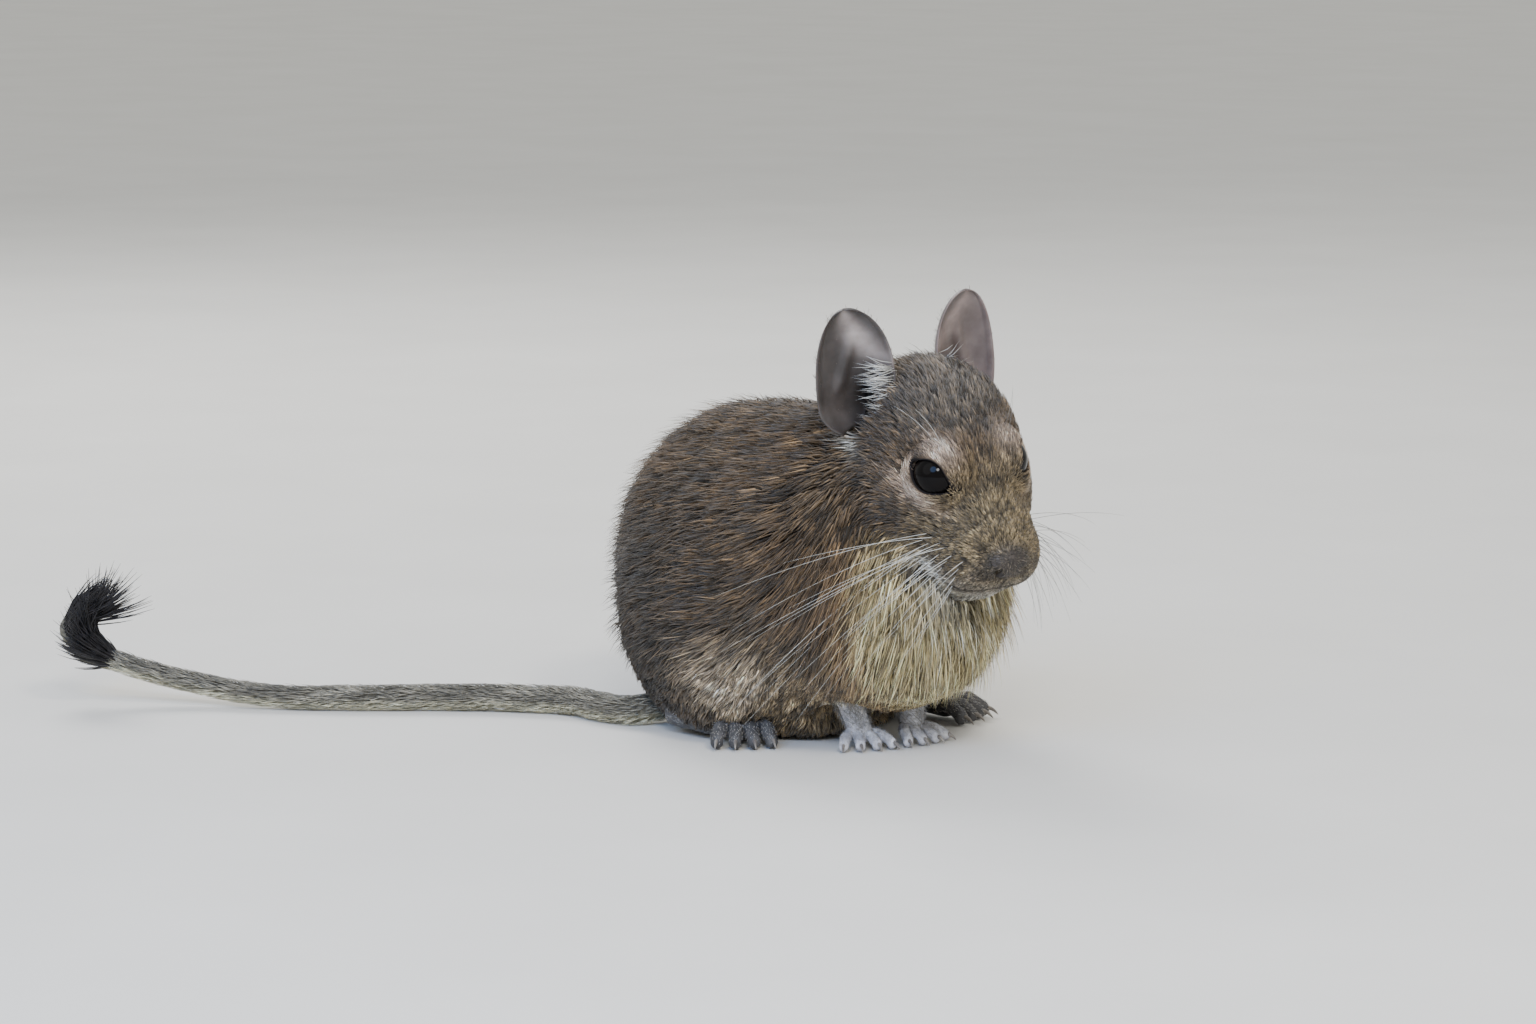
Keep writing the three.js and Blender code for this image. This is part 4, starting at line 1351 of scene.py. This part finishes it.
def make_foot(name, node_name, start, ball_at, heading, kind, finishes):
    """A foot with its claws and its hair."""
    skin, claw, fur = finishes
    radius, thick = kind["radius"], kind["thick"]
    toes = toe_paths(ball_at, heading, kind["splay"], kind["length"], radius, kind["arch"])
    form = foot_form(start, ball_at, toes, thick, radius)
    parts = [tube([start, ball_at], thick, 24)]
    for root, knuckle, tip, _ in toes:
        parts.append(tube([root, knuckle, (knuckle + 2 * tip) / 3, tip], [radius * 0.66] * 4, 14))
    points, quads = remeshed(f"{name}.Rough", *joined(parts), FOOT_CELL)
    points = off_floor(settle(form, points.astype(np.float32), 4), 0.05)
    foot = mesh_piece(name, points, quads, "foot_skin", skin)
    creases = 0.5 + 0.5 * np.sin(points @ flat_way(heading).astype(np.float32) * 5.2)
    # The foot is painted darker along its bottom, as painted shade where it meets the floor.
    shade = 0.9 + 0.2 * cloud(points, 3, 51) + 0.08 * creases - 0.35 * ramp(-points[:, 2], -1.3, -0.3)
    # The kind's pale share sets how bright the foot is painted, and for the fore feet it holds painted light
    # as well as their paler skin.
    shade = shade * kind["pale"] * (1 + 0.5 * ramp(points[:, 2], 5, 10))
    paint(foot, np.repeat(shade[:, None], 3, axis=1))
    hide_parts(node_name)
    foot_claws(name, toes, radius, claw)
    foot_hair(name, foot, form, heading, fur)


def make_feet(finishes):
    """The four feet."""
    for name, side in SIDES.items():
        make_foot(f"Hind.Foot.{name}", f"hind_foot_{name}", ANKLE[side], HIND_BALL[side], HIND_HEADING[side],
                  HIND_FOOT, finishes)
        make_foot(f"Fore.Foot.{name}", f"forefoot_{name}", WRIST[side], FORE_BALL[side], FORE_HEADING[side],
                  FORE_FOOT, finishes)


def make_forelegs(material, fur):
    """The forelegs from the elbow to the wrist, in pale hair that hangs down."""
    count = LEG_HAIRS
    share = np.linspace(0, 1, 24)[:, None]
    for name, side in SIDES.items():
        path = np.float32(ELBOW[side]) * (1 - share) + np.float32(WRIST[side]) * share
        points, faces = tube(path, LEG_RADII[0] * (1 - share[:, 0]) + LEG_RADII[1] * share[:, 0], 32)
        leg = mesh_piece(f"Foreleg.{name}", points, faces, "pale_coat", material)
        paint(leg, np.tile(LEG_GREY * 0.6, (len(points), 1)))
        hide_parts(f"foreleg_{name}")
        roots = rooted(leg, count)
        normals = facing(lambda places: taper(places, ELBOW[side], WRIST[side], *LEG_RADII), roots, 0.1)
        ways = laid(strewn(LEG_HAIR_HANGS, count, 0.16), normals)
        tufts = blades(roots, normals, ways, 2.4 * draw.uniform(0.7, 1.25, count), 0.24, 22, 4)
        pale = mix_in(LEG_GREY[None], CREAM, np.float32([0.2]))
        colours = np.tile(pale, (count, BLADE_CORNERS, 1)) * draw.uniform(0.6, 1.25, (count, 1, 1)) * 1.25
        colours[:, :3] *= 0.5
        places = 0.4 + 0.01 * roots[:, [0, 2]]
        coat_piece(f"Foreleg.Hair.{name}", tufts, colours, places, "pale_coat", fur)


# The tail: a long hairy rod that ends in a brush of bristles.

TAIL_POINTS = np.array([
    (-24, -8, 7), (-24.5, -19, 4.3), (-26, -27, 3.3), (-32, -30.5, 3.2), (-41, -32, 3.2),
    (-50, -38, 3.1), (-61, -50, 3), (-73, -67, 2.9), (-84, -80, 2.9), (-97, -91.5, 4.8),
    (-107, -103, 8.5), (-113, -111.5, 12.5), (-115.5, -114, 16), (-115, -113.2, 18.5)])
TAIL_RADIUS = 3.5
TAIL_END_RADIUS = 1.5
TAIL_BARE = 0.80
TAIL_ROUND = 28
TAIL_STEPS = 260
TAIL_HAIRS = 7000
SCALE_RING = 1.1
TUFT_LENGTH = 17
BRISTLES = 1500
BRISTLE_RADII = (0.16, 0.19, 0.17, 0.11, 0.02)
BRUSH_LEANS = np.array([0.53, 0.76, 0.36])


def smooth_path(points, count):
    """A smooth curve through points, evenly spaced along its length."""
    curve = bpy.data.curves.new("Path", "CURVE")
    curve.dimensions = "3D"
    spline = curve.splines.new("BEZIER")
    spline.bezier_points.add(len(points) - 1)
    for knot, place in zip(spline.bezier_points, points):
        knot.co = place
        knot.handle_left_type = knot.handle_right_type = "AUTO"
    curve.resolution_u = 24
    mesh = evaluated(placed("Path", curve))
    fine = points_of(mesh) * MM
    bpy.data.meshes.remove(mesh)
    run = np.concatenate([[0], np.cumsum(np.linalg.norm(np.diff(fine, axis=0), axis=1))])
    even = np.linspace(0, run[-1], count)
    return np.stack([np.interp(even, run, fine[:, k]) for k in range(3)], 1), run[-1]


def round_tail(path, index, turn):
    """The way out of the tail at steps of its path, by a turn round it in radians."""
    _, side, up = frames_along(path)
    return np.cos(turn)[:, None] * side[index] + np.sin(turn)[:, None] * up[index]


def make_tail(material, fur, bristle):
    """The tail, ringed with fine scales, with its hair and its brush."""
    path, length = smooth_path(TAIL_POINTS, TAIL_STEPS)
    share = np.linspace(0, 1, len(path))
    radii = (TAIL_RADIUS + (TAIL_END_RADIUS - TAIL_RADIUS) * share) * TAIL_BARE
    points, faces = tube(path, radii, TAIL_ROUND)
    points = off_floor(points, 0.08)
    tail = mesh_piece("Tail", points, faces, "coat", material)
    rise = (points[:-2, 2] - np.repeat(path[:, 2], TAIL_ROUND)) / np.repeat(radii, TAIL_ROUND)
    under = ramp(-np.concatenate([rise, [0, 0]]), -0.1, 0.7)
    rings = np.concatenate([np.repeat(share, TAIL_ROUND), [0, 1]]) * length * 2 * pi / SCALE_RING
    shade = (0.85 + 0.15 * np.sin(rings)) * (0.8 + 0.25 * cloud(points, 4, 61))
    paint(tail, mix_in(np.tile(TAIL_OVER, (len(points), 1)), TAIL_UNDER, under) * shade[:, None])
    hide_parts("tail_base", "tail_middle", "tail_tip")
    tail_hair(path, radii, share, fur)
    tail_brush(path, radii, length, bristle)


def tail_hair(path, radii, share, fur):
    """Short stiff hair that lies back along the tail, dark above and pale below."""
    count = TAIL_HAIRS
    last = len(path) - 1
    at = draw.uniform(0.04, 0.95, count) * last
    index = at.astype(int)
    part = (at - index)[:, None]
    turn = draw.uniform(0, 2 * pi, count)
    normals = round_tail(path, index, turn)
    middle = path[index] * (1 - part) + path[np.minimum(index + 1, last)] * part
    roots = middle + normals * radii[index][:, None]
    ways = laid(strewn(frames_along(path)[0][index], count, 0.14), normals)
    lengths = (3.0 + 1.8 * share[index]) * draw.uniform(0.7, 1.25, count)
    tufts = off_floor(blades(roots, normals, ways, lengths, 0.26, 15, 3), 0.08)
    shade = mix_in(np.tile(TAIL_OVER, (count, 1)), TAIL_UNDER, ramp(-normals[:, 2], -0.1, 0.75))
    streak = np.exp(0.55 * cloud(roots * np.float32([0.5, 0.5, 1.6]), 5, 71) + draw.normal(0, 0.28, count))
    shade = mix_in(shade * streak[:, None], TAIL_END, ramp(share[index], 0.86, 0.94))
    colours = np.repeat(shade[:, None], BLADE_CORNERS, axis=1)
    colours[:, :3] *= 0.5
    colours[:, 6] *= 1.2
    places = np.stack([0.02 + 0.96 * share[index], 0.5 + 0.45 * (turn / pi - 1)], 1)
    coat_piece("Tail.Hair", tufts, np.clip(colours, 0.003, 0.9), places, "coat", fur)


def tail_brush(path, radii, length, bristle):
    """The brush: long black bristles that fan from the tail's last stretch, up and to one side."""
    count = BRISTLES
    start = 1 - TUFT_LENGTH / length
    place = start + (1 - start) * draw.uniform(0, 1, count)
    index = (place * (len(path) - 1)).astype(int)
    turn = draw.uniform(0, 2 * pi, count)
    out = round_tail(path, index, turn)
    share = ((place - start) / (1 - start))[:, None]
    along = frames_along(path)[0][index]
    sweep = unit(along * (1 - 0.8 * share) + BRUSH_LEANS * (0.25 + 0.75 * share))
    reach = (10.5 + 5 * draw.uniform(-1, 1, count))[:, None] * (0.75 + 0.25 * share)
    roots = path[index] + out * radii[index][:, None] * 0.7
    sweep = strewn(sweep, count, 0.10)
    steps = np.linspace(0, 1, len(BRISTLE_RADII))[:, None]
    pieces = []
    for k in range(count):
        bow = out[k] * (0.30 * reach[k] * np.sin(steps * 1.5)) + sweep[k] * reach[k] * steps
        pieces.append(tube(roots[k] + bow, BRISTLE_RADII, 3))
    points, faces = joined(pieces)
    brush = mesh_piece("Tail.Brush", off_floor(points), faces, "tuft", bristle)
    each = len(points) // count
    spots = np.repeat(np.stack([0.1 + 0.8 * place, 0.1 + 0.8 * turn / (2 * pi)], 1), each, axis=0)
    within = np.stack([np.linspace(-PATCH, PATCH, each), np.linspace(PATCH, -PATCH, each) ** 3], 1)
    lay_out(brush, spots + np.tile(within, (count, 1)), faces)
    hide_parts("tail_tuft")


# Whiskers.

WHISKER_END = 0.012
WHISKER_SHORTER = {1: 0.72, -1: 1}
BROW_WHISKERS = 2
BROW_WHISKER_LENGTH = 11


def whisker(start, way, sag, bend, count, thick, thinning):
    """A fine hair from its start along a way, bent by its sag and thinner towards its tip."""
    steps = np.linspace(0, 1, count)[:, None]
    path = off_floor(start + way * steps + sag * steps ** bend, 0.4)
    return tube(path, thick * (1 - steps[:, 0]) ** thinning + WHISKER_END, 6)


def pad_whisker(index, side):
    """A whisker of the muzzle, longer towards the back of its row and lower in the lower rows."""
    row, column = divmod(index, PAD_COLUMNS)
    root = on_head(PAD_ROOTS[index], side)
    normal = facing(coat_form, root[None].astype(np.float32))[0]
    long = (19 + 4.2 * column - 0.8 * row) * draw.uniform(0.75, 1.2) * WHISKER_SHORTER[side]
    fall = -0.45 - 0.22 * row + 0.10 * draw.normal()
    way = unit(normal * 0.45 + head_way((0.10 - 0.10 * column + 0.08 * draw.normal(), 0.6, fall), side))
    droop = np.array([-0.45 + 0.1 * draw.normal(), 0, -0.55 + 0.12 * draw.normal()])
    return whisker(root - normal * 0.8, way * long, droop * long * 0.45, 1.9, 16, 0.042, 0.8)


def brow_whisker(index, side):
    """A whisker over an eye."""
    root = on_head((10.5 - 2.5 * index, 7.2 + 0.8 * index, 10.2), side)
    way = head_way((-0.5 - 0.3 * index, 0.35 + 0.3 * index, 0.8), side)
    return whisker(root, way * BROW_WHISKER_LENGTH, np.array([-2.5, 0, -2.0]), 2, 10, 0.035, 0.7)


def make_whiskers(pale, dark):
    """Long whiskers in rows on each side of the muzzle, and a few over each eye."""
    for name, side in SIDES.items():
        pieces = [pad_whisker(index, side) for index in range(len(PAD_ROOTS))]
        pieces += [brow_whisker(index, side) for index in range(BROW_WHISKERS)]
        mesh_piece(f"Whiskers.{name}", *joined(pieces), "coat", dark if side == 1 else pale)


# The floor and the light.

FLOOR_REACH = 12
HIGHER = Vector((0, 0, 1))
LIT_PLACE = Vector((0, 0, 0.04))
# Each lamp: its place in metres, size, power and colour.
LAMPS = {
    "Key": (BACK * 0.68 + ASIDE * 0.26 + ABOVE * 0.60, 0.17, 3.4, (1, 0.93, 0.82)),
    "Window": (BACK * 0.86 + ABOVE * 0.42, 0.20, 3.4, (1, 1, 1)),
    "Sky": (BACK * 0.84 + ASIDE * -0.34 + ABOVE * 0.47, 0.46, 4.4, (0.22, 0.46, 1.0)),
    "Fill": (BACK * 0.5 + ASIDE * -0.7 + HIGHER * 0.5, 0.9, 1.6, (0.95, 0.98, 1)),
    "Rim": (BACK * -0.7 + ASIDE * -0.3 + HIGHER * 0.8, 0.5, 6.0, (1, 1, 1)),
}
AIR_COLOUR = (0.96, 0.965, 0.935, 1)
AIR_STRENGTH = 0.75


def make_floor():
    """A pale floor that reaches out of sight."""
    mesh = bpy.data.meshes.new("Floor")
    far = FLOOR_REACH
    mesh.from_pydata([(-far, -far, 0), (far, -far, 0), (far, far, 0), (-far, far, 0)], [], [(0, 1, 2, 3)])
    mesh.materials.append(floor_finish())
    floor = placed("Floor", mesh)


def make_light():
    """Even daylight from all round, and the lamps."""
    world = bpy.data.worlds.new("Studio")
    bpy.context.scene.world = world
    world.use_nodes = True
    sky = world.node_tree.nodes["Background"]
    sky.inputs["Color"].default_value = AIR_COLOUR
    sky.inputs["Strength"].default_value = AIR_STRENGTH
    for name, (place, size, power, colour) in LAMPS.items():
        light = bpy.data.lights.new(name, "AREA")
        light.shape = "DISK"
        light.size = size
        light.energy = power
        light.color = colour
        lamp = placed(name, light)
        lamp.location = place
        lamp.rotation_euler = (LIT_PLACE - place).to_track_quat("-Z", "Y").to_euler()


def main():
    """The whole scene."""
    set_camera()
    fur = fur_finish()
    skin_material = skin_finish()
    foot_material = bare_finish("Foot.Skin", tone(0.36, 0.36, 0.375), tone(0.50, 0.50, 0.51), 420)
    ear_material = bare_finish("Ear.Skin", tone(0.37, 0.345, 0.335), tone(0.50, 0.475, 0.465), 160,
                               roughness=0.45, bump=0.2, translucent=0.12)
    nose_material = bare_finish("Nose.Skin", tone(0.17, 0.155, 0.145), tone(0.28, 0.255, 0.235), 900,
                                roughness=0.5, bump=0.6)
    claw_material = bare_finish("Claw", tone(0.42, 0.40, 0.39), tone(0.60, 0.58, 0.55), 500,
                                roughness=0.35, bump=0.1)
    make_coat(make_skin(skin_material), fur)
    make_eyes(eye_finish(), skin_material, fur)
    make_nose(nose_material, fur)
    make_ears(ear_material, fur)
    make_forelegs(skin_material, fur)
    make_feet((foot_material, claw_material, fur))
    make_tail(skin_material, fur, hair_finish("Bristle", tone(0.05, 0.05, 0.055), tone(0.17, 0.16, 0.17)))
    make_whiskers(hair_finish("Whisker.Pale", tone(0.70, 0.70, 0.67), tone(0.90, 0.90, 0.88)),
                  hair_finish("Whisker.Dark", tone(0.30, 0.29, 0.28), tone(0.55, 0.54, 0.52)))
    make_floor()
    make_light()


main()
